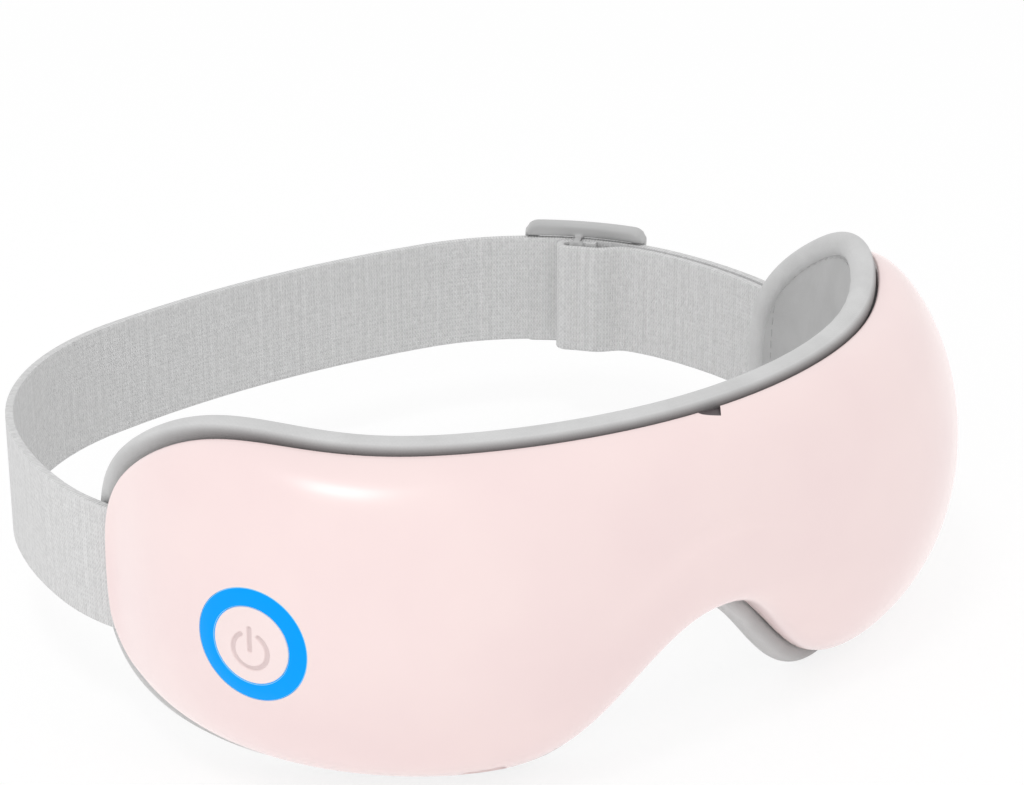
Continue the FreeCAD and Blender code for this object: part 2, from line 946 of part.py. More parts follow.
def valve_seat():
    width = valve_width - seat_margin
    height = valve_height - seat_margin
    seat = block(width, seat_stand + post_root, height, 0, -seat_stand, seat_margin / 2)
    return stand(seat, valve_angle, valve_rise)


def battery():
    pack = block(battery_width, battery_thick, battery_height, 0, -battery_thick - seat_stand)
    uprights = [e for e in pack.Edges if abs(e.BoundBox.ZLength - battery_height) < seat_gap]
    pack = pack.makeFillet(pack_round, uprights)
    return stand(pack, battery_angle, battery_low)


def battery_seat():
    width = battery_width - 2 * seat_margin
    height = battery_height - 2 * seat_margin
    seat = block(width, seat_stand + post_root, height, 0, -seat_stand, seat_margin)
    return stand(seat, battery_angle, battery_low)


def main_board():
    board = block(board_width, board_thick, board_height, 0, -board_stand - board_thick)
    return stand(board, board_angle, board_low)


def board_posts():
    posts = []
    for side in (-1, 1):
        for z in (board_post, board_height - 2 * board_post):
            x = side * (board_width / 2 - board_post)
            post = block(board_post, board_stand + post_root, board_post, x, -board_stand, z)
            posts.append(stand(post, board_angle, board_low))
    return posts


def board_chips():
    chips = []
    for z in chip_rises:
        chip = block(chip_side, chip_thick, chip_side, 0, -board_stand - board_thick - chip_thick, z)
        chips.append(stand(chip, board_angle, board_low))
    return Part.makeCompound(chips)


def charging_socket():
    shell = socket_prism(0, socket_height)
    hollow = socket_prism(-socket_wall, socket_height - socket_wall)
    middle = -(board_stand + board_thick + socket_thick / 2)
    long = socket_height - tongue_gap
    tongue = block(socket_width - socket_thick, tongue_thick, long, 0, middle - tongue_thick / 2, tongue_gap)
    return socket_place(shell.cut(hollow).fuse(tongue))


def shaker(side):
    body = rod(shaker_radius, shaker_length, V(0, -shaker_stand, 0))
    return stand(body, side * shaker_angle, shaker_low)


def shaker_weight(side):
    # A half-round weight on the motor's shaft, which turns with it.
    foot = shaker_length + seat_gap
    shaft = rod(shaft_radius, shaft_length, V(0, 0, foot))
    half = Part.makeCylinder(weight_radius, weight_height, V(0, 0, foot + weight_gap), UP, 180)
    turned = shaft.fuse(half).removeSplitter()
    turned.translate(V(0, -shaker_stand, 0))
    return stand(turned, side * shaker_angle, shaker_low)


def shaker_cradle(side):
    long = shaker_length - 2 * seat_margin
    bed = block(cradle_width, shaker_stand + post_root, long, 0, -shaker_stand, seat_margin)
    bed = bed.cut(rod(shaker_radius + seat_gap, overrun, V(0, -shaker_stand, 0)))
    return stand(bed, side * shaker_angle, shaker_low)


def bar_holders():
    # Two ears at each end of the frame, above and below the strap's window, that take the bar's ends.
    place, heading = bar_centre()
    hole = anchor_bar(seat_gap)
    foot = strap_width / 2 + window_gap
    ears = []
    for low in (foot, -foot - bar_hold):
        long = bar_wide + 2 * bar_wall
        back = place - facing(heading) * (bar_wide / 2)
        ear = block(2 * bar_wall + bar_thick, long, bar_hold, 0, -long / 2, low)
        ear.rotate(V(0, 0, 0), UP, 90 - heading)
        ear.translate(back)
        ears.append(ear.cut(hole))
    return ears


def inner_frame():
    low = lambda a: low_edge(a) + frame_inset * lean(low_edge, a)
    high = lambda a: top_edge(a) - frame_inset * lean(top_edge, a)
    plate = band(stations(frame_reach), frame_back, lambda a: -seat_gap, low, high)
    tall = strap_width + 2 * window_gap
    place, heading = bar_centre()
    window = Part.makeBox(overrun, 2 * overrun, tall, V(place.x - overrun / 2, place.y - bar_wide, -tall / 2))
    plate = plate.cut([window, mirrored(window)])
    ears = bar_holders()
    adds = [battery_seat(), valve_seat(), pump_cradle(), shaker_cradle(-1), shaker_cradle(1)] + board_posts()
    adds += ears + [mirrored(e) for e in ears]
    drill = rod(screw_radius + slide_gap, overrun, V(0, -overrun / 2, 0), V(0, 1, 0))
    holes = [stand(drill, a, z) for a, z in screw_sites()]
    for side in (-1, 1):
        for a, z in nipple_sites(side):
            holes.append(nipple(a, z, nipple_radius + slide_gap, -overrun / 2, overrun / 2))
    spigot = rod(nipple_radius + slide_gap, overrun, V(0, -overrun / 2, valve_height / 2), V(0, 1, 0))
    holes.append(stand(spigot, valve_angle, valve_rise))
    return plate.fuse(adds).cut(holes)


def cover_screws():
    screws = []
    for a, z in screw_sites():
        head_face = seat_gap - frame_back()
        screw = rod(screw_head_radius, screw_head_thick, V(0, head_face, 0), V(0, 1, 0))
        screw = screw.fuse(rod(screw_radius, screw_length, V(0, head_face, 0), V(0, -1, 0)))
        screws.append(stand(screw, a, z))
    return Part.makeCompound(screws)


def main():
    blank = cover_blank()
    bar = anchor_bar()
    pieces = {
        "front_cover": front_cover(blank),
        "light_ring": light_ring(),
        "power_button": power_button(),
        "button_cup": button_cup(blank),
        "switch_plunger": switch_plunger(),
        "tact_switch": tact_switch(),
        "button_board": button_board(),
        "ring_leds": ring_leds(),
        "inner_frame": inner_frame(),
        "cover_screws": cover_screws(),
        "battery": battery(),
        "main_board": main_board(),
        "board_chips": board_chips(),
        "charging_socket": charging_socket(),
        "pump_motor": pump_motor(),
        "pump_head": pump_head(),
        "air_valve": air_valve(),
        "feed_tube": feed_tube(),
        "link_tube": link_tube(),
        "pad_roll": pad_roll(),
        "face_lining": face_lining(),
        "strap_band": strap_band(),
        "strap_return": strap_return(),
        "slide_buckle": slide_buckle(),
        "anchor_bar_right": bar,
        "anchor_bar_left": mirrored(bar),
    }
    for side, word in ((-1, "left"), (1, "right")):
        pieces["airbag_" + word] = airbag(side)
        pieces["warming_film_" + word] = warming_film(side)
        pieces["shaker_motor_" + word] = shaker(side)
        pieces["shaker_weight_" + word] = shaker_weight(side)
    # The origin lies under the middle of the whole, on the surface it stands on.
    box = Part.makeCompound(list(pieces.values())).optimalBoundingBox(False)
    shift = V(-box.Center.x, -box.Center.y, -box.ZMin)
    os.makedirs("parts", exist_ok=True)
    for name, shape in pieces.items():
        shape.translate(shift)
        shape.exportStep("parts/" + name + ".step")
        print(name, "solids", len(shape.Solids), "valid", shape.isValid(), "volume", round(shape.Volume))
    print("shift", shift, "size", box.XLength, box.YLength, box.ZLength)


main()
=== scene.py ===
# %% [markdown]
# # An eye massager, dressed for its photograph
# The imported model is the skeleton: it fixes every size, place and joint. This file puts the
# finish on it: a glossy moulded cover, a lit button, a stuffed roll, a lining and woven webbing.
# Where a plain solid is too coarse to show, a finer mesh with the same form stands in for it.

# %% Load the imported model
import json
import math

import bmesh
import bpy
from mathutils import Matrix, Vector
from mathutils.bvhtree import BVHTree


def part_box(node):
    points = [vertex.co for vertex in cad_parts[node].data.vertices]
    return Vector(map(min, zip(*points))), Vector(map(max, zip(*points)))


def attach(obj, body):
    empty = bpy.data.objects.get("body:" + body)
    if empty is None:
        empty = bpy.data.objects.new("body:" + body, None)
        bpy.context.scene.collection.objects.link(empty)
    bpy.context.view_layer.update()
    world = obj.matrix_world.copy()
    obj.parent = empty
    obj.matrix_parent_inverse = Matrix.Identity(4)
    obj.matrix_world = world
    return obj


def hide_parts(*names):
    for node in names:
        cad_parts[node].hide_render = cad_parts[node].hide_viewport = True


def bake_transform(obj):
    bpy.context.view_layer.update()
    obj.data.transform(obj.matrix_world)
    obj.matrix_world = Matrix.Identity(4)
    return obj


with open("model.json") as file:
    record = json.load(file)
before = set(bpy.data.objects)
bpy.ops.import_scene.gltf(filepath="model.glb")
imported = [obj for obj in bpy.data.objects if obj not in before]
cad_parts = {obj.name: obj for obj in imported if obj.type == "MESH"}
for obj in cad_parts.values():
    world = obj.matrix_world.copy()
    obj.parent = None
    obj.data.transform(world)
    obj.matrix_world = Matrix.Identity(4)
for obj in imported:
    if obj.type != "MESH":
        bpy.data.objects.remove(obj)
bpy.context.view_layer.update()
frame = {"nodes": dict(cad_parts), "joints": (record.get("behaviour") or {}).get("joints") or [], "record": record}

MM = 0.001

# %% [markdown]
# ## Where the massager stands
# The shapes below are drawn round the middle of the wearer's head, level with the headband's
# centre line. The headband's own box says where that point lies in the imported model.

# %% Place of the drawing in the model
strap_thick, strap_wide = 1.8, 28.0
strap_back = 86.0          # from the middle of the head to the headband's centre line behind it
band_low, band_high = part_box("strap_band")
home = Vector((0, band_high[1] - (strap_back + strap_thick / 2) * MM, (band_low[2] + band_high[2]) / 2))
print("middle of the head", [round(c / MM, 2) for c in home])


def placed(point):
    return Vector(point) * MM + home

# %% [markdown]
# ## The camera
# A product photograph is taken from far off with a long lens, so that near and far parts keep
# their proportions. The camera stands in front, to the left and a little above.

# %% Camera


def in_scene(name, data):
    thing = bpy.data.objects.new(name, data)
    bpy.context.scene.collection.objects.link(thing)
    return thing


azimuth, height_angle, distance = math.radians(-36.43), math.radians(23.215), 0.6865
target = home + Vector((11.28, -2.5, 10.93)) * MM
away = Vector((math.sin(azimuth) * math.cos(height_angle), -math.cos(azimuth) * math.cos(height_angle),
               math.sin(height_angle)))
camera_data = bpy.data.cameras.new("product_camera")
camera_data.sensor_width, camera_data.lens = 36.0, 105.96
camera = in_scene("product_camera", camera_data)
camera.location = target + away * distance
camera.rotation_euler = away.to_track_quat("Z", "Y").to_euler()
bpy.context.scene.camera = camera
print("camera at", [round(c, 4) for c in camera.location])

# %% [markdown]
# ## Small helpers
# A mesh needs points and faces. One function makes a mesh object, one turns its faces outwards,
# and one makes its modifiers real. A mark is a number that each point of a mesh carries.

# %% Helpers for meshes


def new_piece(name, points, faces, materials=(), marks=None):
    mesh = bpy.data.meshes.new(name)
    mesh.from_pydata([tuple(p) for p in points], [], faces)
    for material in materials:
        mesh.materials.append(material)
    if marks:
        mesh.polygons.foreach_set("material_index", marks)
    mesh.shade_smooth()
    return in_scene(name, mesh)


def outward_faces(piece):
    shape = bmesh.new()
    shape.from_mesh(piece.data)
    bmesh.ops.remove_doubles(shape, verts=shape.verts, dist=1e-7)
    bmesh.ops.recalc_face_normals(shape, faces=shape.faces)
    shape.to_mesh(piece.data)
    shape.free()


def real_mesh(piece):
    # The mesh that the piece's modifiers make.
    bpy.context.view_layer.update()
    return bpy.data.meshes.new_from_object(piece.evaluated_get(bpy.context.evaluated_depsgraph_get()))


def plain_mesh(piece):
    # The piece with its modifiers made real.
    old, done = piece.data, real_mesh(piece)
    piece.modifiers.clear()
    piece.data = done
    bpy.data.meshes.remove(old)


def mark(piece, name, values):
    piece.data.attributes.new(name, "FLOAT", "POINT").data.foreach_set("value", values)

# %% [markdown]
# ## Helpers for finishes
# A finish is a small tree of nodes. One function turns a web colour into the linear numbers
# that the renderer counts in, and one adds a node with its settings and links. The others are
# steps that most finishes share.

# %% Helpers for nodes


def colour(hex_code):
    def linear(part):
        share = int(part, 16) / 255
        return share / 12.92 if share <= 0.04045 else ((share + 0.055) / 1.055) ** 2.4
    return tuple(linear(hex_code[i:i + 2]) for i in (1, 3, 5)) + (1.0,)


def add(tree, kind, settings={}, links={}):
    # Settings are properties or socket values; a link comes from a socket or a node's first output.
    node = tree.nodes.new(kind)
    for key, value in settings.items():
        if isinstance(key, str) and hasattr(node, key):
            setattr(node, key, value)
        else:
            node.inputs[key].default_value = value
    for key, source in links.items():
        tree.links.new(getattr(source, "outputs", [source])[0], node.inputs[key])
    return node


def new_finish(name, settings):
    # A material with one surface shader, its constants set on the shader's own sockets.
    material = bpy.data.materials.new(name)
    material.use_nodes = True
    tree = material.node_tree
    tree.nodes.clear()
    shader = add(tree, "ShaderNodeBsdfPrincipled", settings)
    add(tree, "ShaderNodeOutputMaterial", links={"Surface": shader})
    place = add(tree, "ShaderNodeTexCoord").outputs["Object"]
    return material, tree, shader, place


def maths(tree, operation, *terms):
    # One sum of numbers and other nodes' outputs.
    node = add(tree, "ShaderNodeMath", {"operation": operation})
    for socket, term in zip(node.inputs, terms):
        if isinstance(term, bpy.types.NodeSocket):
            tree.links.new(term, socket)
        else:
            socket.default_value = term
    return node.outputs[0]


def noise(tree, place, size_mm, detail, roughness=0.5):
    settings = {"Scale": 1 / (size_mm * MM), "Detail": detail, "Roughness": roughness}
    return add(tree, "ShaderNodeTexNoise", settings, {"Vector": place}).outputs[0]


def two_tones(tree, share, low_tone, high_tone, start=0.0, stop=1.0):
    ramp = add(tree, "ShaderNodeValToRGB", links={"Fac": share})
    low_end, high_end = ramp.color_ramp.elements
    low_end.color, high_end.color = colour(low_tone), colour(high_tone)
    low_end.position, high_end.position = start, stop
    return ramp.outputs["Color"]


def marked(tree, name):
    return add(tree, "ShaderNodeAttribute", {"attribute_name": name}).outputs["Fac"]


def tinted(tree, base, name, tone):
    # The base colour, drawn to another tone where the mesh is marked.
    share = marked(tree, name)
    return add(tree, "ShaderNodeMix", {"data_type": "RGBA", 7: colour(tone)}, {0: share, 6: base}).outputs[2]


def into(node, name, source):
    node.id_data.links.new(source, node.inputs[name])


def bumped(tree, shader, height, strength, depth_mm, invert=False):
    settings = {"Strength": strength, "Distance": depth_mm * MM, "invert": invert}
    into(shader, "Normal", add(tree, "ShaderNodeBump", settings, {"Height": height}).outputs[0])

# %% [markdown]
# ## Moulded plastics
# Moulded ABS is never one flat colour: the melt leaves faint clouds, and the mould's polish a
# slight waviness. So each plastic mixes two near colours by a broad cloud and carries a very
# shallow bump. A polished mould gives a clear gloss, a spark-eroded one a satin grain.

# %% Plastic finishes
cloud_mm, cloud_start, cloud_stop = 25, 0.3, 0.7


def moulded(name, dark, light, roughness, grain_mm, depth, coat=0.0, sunk=None):
    settings = {"Roughness": roughness, "IOR": 1.5, "Coat Weight": coat, "Coat Roughness": 0.15}
    material, tree, shader, place = new_finish(name, settings)
    tint = two_tones(tree, noise(tree, place, cloud_mm, 2.0), dark, light, cloud_start, cloud_stop)
    # Painted shade: where the mesh is marked as groove, the colour is drawn to a darker tone.
    if sunk:
        tint = tinted(tree, tint, "groove", sunk)
    into(shader, "Base Color", tint)
    bumped(tree, shader, noise(tree, place, grain_mm, 3.0), 0.4, depth)
    return material


# Polished ABS in blush pink: a clear gloss with soft-edged reflections.
blush_abs = moulded("blush_abs_polished", "#F6E0DF", "#F9E4E2", 0.26, 6.0, 0.02, coat=0.1)
# The cap's ABS is the same melt in a finer, slightly satin mould; its sunk sign is tinted a little greyer, a
# painted shade in the groove.
cap_abs = moulded("blush_abs_satin_cap", "#F7E4E2", "#FAE8E6", 0.32, 0.6, 0.01, sunk="#E2CFCE")
# Grey nylon with an eroded grain, as slide buckles are moulded.
buckle_nylon = moulded("grey_nylon_eroded", "#B4B4B4", "#BEBEBE", 0.45, 0.4, 0.02)
# The fingernail gap's faces lie in the shade, so they are painted dark: a painted shade.
notch_painted_shade = moulded("notch_painted_shade_abs", "#453C3E", "#51474A", 0.5, 0.6, 0.02)
print("plastics", blush_abs.name, cap_abs.name, buckle_nylon.name)

# %% [markdown]
# ## The cover's rule
# The cover wraps the face along part of an ellipse. Its upper edge, its lower edge and its
# swell are each a formula of the angle round that ellipse, so one grid of points gives the
# whole shell. A subdivided cage could be pulled to the same form by eye, but then the roll and
# the lining behind it would have to be fitted by eye as well.

# %% Edges and swell of the cover
rim_half_width, rim_half_depth, wrap_reach = 98.0, 83.5, 84.5
bridge_rise, lobe_rise, lobe_angle, lobe_spread, top_end_power = 38.0, 7.2, 66.5, 17.5, 3.2
notch_drop, lobe_drop, notch_angle, notch_power, low_end_power = 4.9, 29.0, 13.9, 2.2, 3.0
cover_notch_drop, cover_notch_angle = 3.7, 15.0
bulge_depth, bulge_end_power, bulge_fall_power = 24.0, 4.3, 1.7
wing_end_thick, wing_end_power = 1.2, 8.0
bridge_dip_share, bridge_spread = 0.56, 30.0


def rim_point(angle):
    a = math.radians(angle)
    return Vector((rim_half_width * math.sin(a), -rim_half_depth * math.cos(a), 0))


def outward(angle):
    a = math.radians(angle)
    return Vector((math.sin(a) / rim_half_width, -math.cos(a) / rim_half_depth, 0)).normalized()


def at(angle, out, height):
    return rim_point(angle) + outward(angle) * out + Vector((0, 0, height))


def end_fall(angle, reach, power):
    share = min(abs(angle) / reach, 1)
    return (1 - share ** power) ** (1 / power)


def top_edge(angle, extra=0, reach=wrap_reach, power=top_end_power):
    lobe = math.exp(-((abs(angle) - lobe_angle) / lobe_spread) ** 2)
    return end_fall(angle, reach, power) * (bridge_rise + lobe_rise * lobe + extra)


def low_edge(angle, extra=0, reach=wrap_reach, power=low_end_power, drop=notch_drop, spread=notch_angle):
    lobe = 1 - math.exp(-(abs(angle) / spread) ** notch_power)
    return -end_fall(angle, reach, power) * (drop + (notch_drop + lobe_drop - drop) * lobe + extra)


def cover_low(angle):
    # The cover's own notch is a little higher and wider than the roll's notch behind it.
    return low_edge(angle, drop=cover_notch_drop, spread=cover_notch_angle)


def bulge(angle):
    share = min(abs(angle) / wrap_reach, 1)
    dip = bridge_dip_share * math.exp(-(angle / bridge_spread) ** 2)
    swell = bulge_depth * (1 - share ** bulge_end_power) ** bulge_fall_power * (1 - dip)
    return math.hypot(swell, wing_end_thick * share ** wing_end_power)


print("cover is", round(top_edge(lobe_angle) - low_edge(lobe_angle), 1), "mm tall at the lobes")

# %% [markdown]
# ## The cover
# A glossy shell about 2 mm thick, hollow behind, with a flat land round its rim. Each angle
# gives one closed outline: over the swell, round the rim's small edge, along the land and back
# through the hollow. Skinning neighbouring outlines with quads makes the shell; the thin ends
# past the hollow are solid, so there the inner side lies in the rim's plane. Over the last half
# degree the outline shrinks along a quarter circle, which rounds the ends' edges. Over the nose
# the lower half is fuller, so that the notch gets a lip in front and a wall behind it.

# %% Shell of the cover
cover_reach, cavity_reach, cover_wall, rim_land = 83.99, 72.5, 2.0, 6.2
rim_round, end_round = 0.6, 0.5
nose_lip, nose_full, nose_spread = 2.6, 0.6, 13.0
nose_rise_power, lip_power = 0.5, 0.3
outer_steps, inner_steps, round_steps = 44, 14, 4
thinnest_share, edge_share = 0.003, 0.3     # of the swell, at the very end and for the rim's edge


def nose_swell(angle, deep, turn):
    # How far out the cover stands; over the nose its lower half stands fuller.
    nose = math.exp(-(angle / nose_spread) ** 2) * max(-math.cos(turn), 0) ** nose_rise_power
    return deep * math.sin(turn) ** (1 - nose_full * nose) + nose_lip * nose * math.sin(turn) ** lip_power


def cover_outline(angle):
    past = max(abs(angle) - cover_reach + end_round, 0) / end_round
    deep = bulge(angle) * math.sqrt(max(1 - past ** 2, thinnest_share))
    edge = min(rim_round, edge_share * deep)
    high, low = top_edge(angle), cover_low(angle)
    middle, half = (high + low) / 2, (high - low) / 2
    points = []
    for i in range(round_steps):
        turn = math.pi / 2 * i / round_steps
        points.append((edge - edge * math.cos(turn), high - edge + edge * math.sin(turn)))
    first = math.asin(edge / deep)
    for i in range(outer_steps + 1):
        turn = first + (math.pi - 2 * first) * i / outer_steps
        points.append((nose_swell(angle, deep, turn), middle + half * math.cos(turn)))
    for i in range(round_steps):
        turn = math.pi / 2 * (1 - (i + 1) / round_steps)
        points.append((edge - edge * math.cos(turn), low + edge - edge * math.sin(turn)))
    room = deep - cover_wall if abs(angle) < cavity_reach else 0
    for i in range(inner_steps + 1):
        turn = math.pi * (1 - i / inner_steps)
        points.append((room * math.sin(turn), middle + (half - rim_land) * math.cos(turn)))
    return points


def skin(loops, closed=False, capped=True):
    # Quads between neighbouring loops of points, with the two ends filled.
    points = [p for loop in loops for p in loop]
    count, size = len(loops), len(loops[0])
    faces = []
    for i in range(count if closed else count - 1):
        here, there = i * size, (i + 1) % count * size
        faces += [(here + j, here + (j + 1) % size, there + (j + 1) % size, there + j) for j in range(size)]
    if capped and not closed:
        faces += [tuple(range(size))[::-1], tuple(range((count - 1) * size, count * size))]
    return points, faces


def spread_angles(reach, half_steps):
    # Angles from end to end, closer together towards the ends.
    return [reach * math.sin(math.pi / 2 * i / half_steps) for i in range(-half_steps, half_steps + 1)]


land_step = 0.05
land_angles = [side * (cavity_reach + step) for side in (-1, 1) for step in (-land_step, land_step)]
cover_angles = sorted(spread_angles(cover_reach, 84) + land_angles)
cover_loops = [[placed(at(a, out, z)) for out, z in cover_outline(a)] for a in cover_angles]
cover = new_piece("cover_shell", *skin(cover_loops), [blush_abs])
outward_faces(cover)
cover_points = [v.co.copy() for v in cover.data.vertices]
uncut = BVHTree.FromPolygons(cover_points, [tuple(p.vertices) for p in cover.data.polygons])
print("cover", len(cover.data.polygons), "faces")

# %% [markdown]
# ## Openings in the cover
# The lit ring sits in a round hole, a fingernail gap breaks the upper rim, and the charging
# socket looks out of a slot below. Each is a prism cut from the shell: a boolean keeps the
# rest of the surface as it was. Sharp edges are marked by angle, so the cuts stay crisp.

# %% Cut the openings
button_angle, button_turn, ring_outer, ring_inner, seat_gap = -55.297, math.radians(92.4), 12.3, 8.6, 0.1
inwards = Vector(next(j for j in frame["joints"] if j["name"] == "power_press")["axis"]).normalized()
high, low = top_edge(button_angle), cover_low(button_angle)
button_height = (high + low) / 2 + (high - low) / 2 * math.cos(button_turn)
button_centre = placed(at(button_angle, bulge(button_angle) * math.sin(button_turn), button_height))
button_across = inwards.cross(Vector((0, 0, 1))).normalized()
button_up = button_across.cross(inwards).normalized()


def on_button(radius, turn, depth):
    return (button_centre + (button_across * math.cos(turn) + button_up * math.sin(turn)) * radius * MM
            + inwards * depth * MM)


def prism(name, outline, run):
    start = [Vector(p) for p in outline]
    shape = new_piece(name, *skin([start, [p + run for p in start]]))
    outward_faces(shape)
    return shape


def round_turns(count):
    return [2 * math.pi * i / count for i in range(count)]


hole_start, hole_run = -20, 40
hole = [on_button(ring_outer + seat_gap, turn, hole_start) for turn in round_turns(128)]
notch_above, notch_through = 9, 20
notch_left, notch_right, notch_depth, notch_slant = -2.0, 4.0, 0.8, 0.738


def notch_floor(x):
    # The fingernail gap is a wedge: it deepens from its left end to an upright side on the right.
    return top_edge(0) - notch_depth * (x - notch_left) / (notch_right - notch_left)


notch_sides = [(notch_right, notch_floor(notch_right)), (notch_left, notch_floor(notch_left))]
notch_sides += [(x, top_edge(0) + notch_above) for x in (notch_left, notch_right)]
notch = [placed((x - rim_land * notch_slant, -rim_half_depth - rim_land, z)) for x, z in notch_sides]
notch_run = Vector((notch_slant, 1, 0)) * notch_through * MM
board_angle, socket_out, socket_flat, socket_half, socket_top = -30.0, 6.6, 2.9, 1.9, -20.7
slot_points, slot_run = 48, 30
slot = []
for i in range(slot_points):
    turn = 2 * math.pi * (i + 0.5) / slot_points
    sideways = math.copysign(socket_flat, math.cos(turn)) + socket_half * math.cos(turn)
    foot = at(board_angle, socket_out + socket_half * math.sin(turn), socket_top - slot_run)
    slot.append(placed(foot + outward(board_angle).cross(Vector((0, 0, 1))) * sideways))
cutters = [prism("hole_cutter", hole, inwards * hole_run * MM), prism("notch_cutter", notch, notch_run),
           prism("slot_cutter", slot, Vector((0, 0, slot_run * MM)))]
for cutter in cutters:
    cut = cover.modifiers.new("opening", "BOOLEAN")
    cut.operation, cut.solver, cut.object = "DIFFERENCE", "EXACT", cutter
plain_mesh(cover)
for cutter in cutters:
    bpy.data.objects.remove(cutter)
cover.data.set_sharp_from_angle(angle=math.radians(40))
# The fingernail gap's faces get the dark finish, a painted shade where the gap lies in shade.
cover.data.materials.append(notch_painted_shade)
slack = 0.01
for face in cover.data.polygons:
    spot = (face.center - home) / MM
    beside = spot.x - (spot.y + rim_half_depth) * notch_slant
    if notch_left < beside < notch_right + slack and spot.y < 0 and notch_floor(beside) - slack < spot.z:
        face.material_index = 1
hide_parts("front_cover")
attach(cover, "massager")
print("cover after the cuts", len(cover.data.polygons), "faces")

# %% [markdown]
# ## The light ring
# A ring of dyed resin, lit from below by small lamps, glows an even blue. Its thin chamfers
# scatter the light and look paler. The ring follows the cover's surface, so a ray along the
# button's axis finds the height of each of its points.

# %% Glowing resin
dim_share, unlit_share = 0.94, 0.08


def shaded(tone, share):
    return tuple(share * c for c in tone[:3]) + (1.0,)


def glowing(name, hex_code, strength):
    settings = {"Roughness": 0.4, "Specular IOR Level": 0.08, "Emission Strength": strength}
    material, tree, shader, place = new_finish(name, settings)
    lit = colour(hex_code)
    blend = add(tree, "ShaderNodeMix", {"data_type": "RGBA", 6: lit, 7: shaded(lit, dim_share)},
                {0: noise(tree, place, 4, 1.0)})
    into(shader, "Emission Color", blend.outputs[2])
    shader.inputs["Base Color"].default_value = shaded(lit, unlit_share)
    return material


ring_blue = glowing("lit_resin_blue", "#00A2FF", 0.97)
ring_edge = glowing("lit_resin_edge", "#8AD2FA", 0.95)

# %% Ring in the hole
seat_depth, ray_start = 3.4, 8


def cover_depth(radius, turn):
    # How far below the button's centre plane the uncut cover lies at this place.
    start = on_button(radius, turn, -ray_start)
    hit = uncut.ray_cast(start, inwards)[0]
    return (hit - start).length / MM - ray_start


def ring_point(radius, turn, depth):
    return on_button(radius, turn, depth + (cover_depth(radius, turn) if depth < seat_depth else 0))


lens_edge = [(0.0, 0.2), (0.1, 0.05), (0.2, 0.02)]      # steps in from the side and below the surface
ring_profile = [(ring_inner, seat_depth)] + [(ring_inner + step, deep) for step, deep in lens_edge]
ring_profile += [(ring_outer - step, deep) for step, deep in lens_edge[::-1]] + [(ring_outer, seat_depth)]
ring_loops = [[ring_point(r, t, d) for r, d in ring_profile] for t in round_turns(144)]
ring_points, ring_faces = skin(ring_loops, closed=True)
ring_marks = [1 if j % len(ring_profile) in (1, 5) else 0 for j in range(len(ring_faces))]
ring = new_piece("light_ring_lens", ring_points, ring_faces, [ring_blue, ring_edge], ring_marks)
outward_faces(ring)
ring.data.set_sharp_from_angle(angle=math.radians(60))
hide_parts("light_ring")
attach(ring, "massager")
print("ring", len(ring.data.polygons), "faces")

# %% [markdown]
# ## The power button
# A round cap, flush with the cover, with the usual power sign sunk into it. The sign could be
# a bump in the material, but a real groove catches the light from every side. Fine rings of
# points give the groove a soft wall.

# %% Cap with its sunk sign
cap_radius, cap_edge, cap_sink = ring_inner - 0.15, 0.3, 0.04
sign_radius, sign_width, sign_depth, sign_low, sign_gap = 3.9, 0.64, 0.4, -1.0, math.radians(31)
bar_low, bar_high = -0.9, 3.9


def sign_distance(x, y):
    # Distance from the sign's centre line: an open circle and a short upright bar.
    turn = math.atan2(x, y - sign_low)
    if abs(turn) >= sign_gap:
        circle = abs(math.hypot(x, y - sign_low) - sign_radius)
    else:
        end = math.copysign(sign_gap, turn)
        circle = math.hypot(x - sign_radius * math.sin(end), y - sign_low - sign_radius * math.cos(end))
    bar = math.hypot(x, y - min(max(y, bar_low), bar_high))
    return min(circle, bar)


def sign_share(radius, turn):
    # 1 on the floor of the sunk sign, 0 outside it, with a soft wall between.
    share = sign_distance(radius * math.cos(turn), radius * math.sin(turn)) / sign_width
    return 0.5 + 0.5 * math.cos(math.pi * min(max(share * 2 - 1, 0), 1))


def cap_depth(radius, turn):
    rim = max(radius - (cap_radius - cap_edge), 0)
    edge = cap_edge - math.sqrt(max(cap_edge ** 2 - rim ** 2, 0))
    return cover_depth(radius, turn) + cap_sink + sign_depth * sign_share(radius, turn) + edge


cap_count, cap_steps, cap_edge_steps = 160, 70, 5
cap_turns = round_turns(cap_count)
edge_turns = [math.pi / 2 * i / cap_edge_steps for i in range(cap_edge_steps + 1)]
cap_radii = [(cap_radius - cap_edge) * i / cap_steps for i in range(1, cap_steps)]
cap_radii += [cap_radius - cap_edge * (1 - math.sin(turn)) for turn in edge_turns]
cap_rings = [[on_button(r, t, cap_depth(r, t)) for t in cap_turns] for r in cap_radii]
cap_rings.append([on_button(cap_radius, t, seat_depth) for t in cap_turns])
cap_groove = [sign_share(r, t) for r in cap_radii + [cap_radius] for t in cap_turns] + [sign_share(0, 0)]
cap_points, cap_faces = skin(cap_rings, capped=False)
cap_middle = len(cap_points)
cap_points.append(on_button(0, 0, cap_depth(0, 0)))
cap_faces += [(cap_middle, j, (j + 1) % cap_count) for j in range(cap_count)]
cap_faces.append(tuple(range(cap_middle - cap_count, cap_middle)))
cap = new_piece("power_button_cap", cap_points, cap_faces, [cap_abs])
# The groove mark also carries the painted shade of the sunk sign.
mark(cap, "groove", cap_groove)
outward_faces(cap)
cap.data.set_sharp_from_angle(angle=math.radians(60))
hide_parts("power_button")
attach(cap, "button")
print("cap", len(cap.data.polygons), "faces")
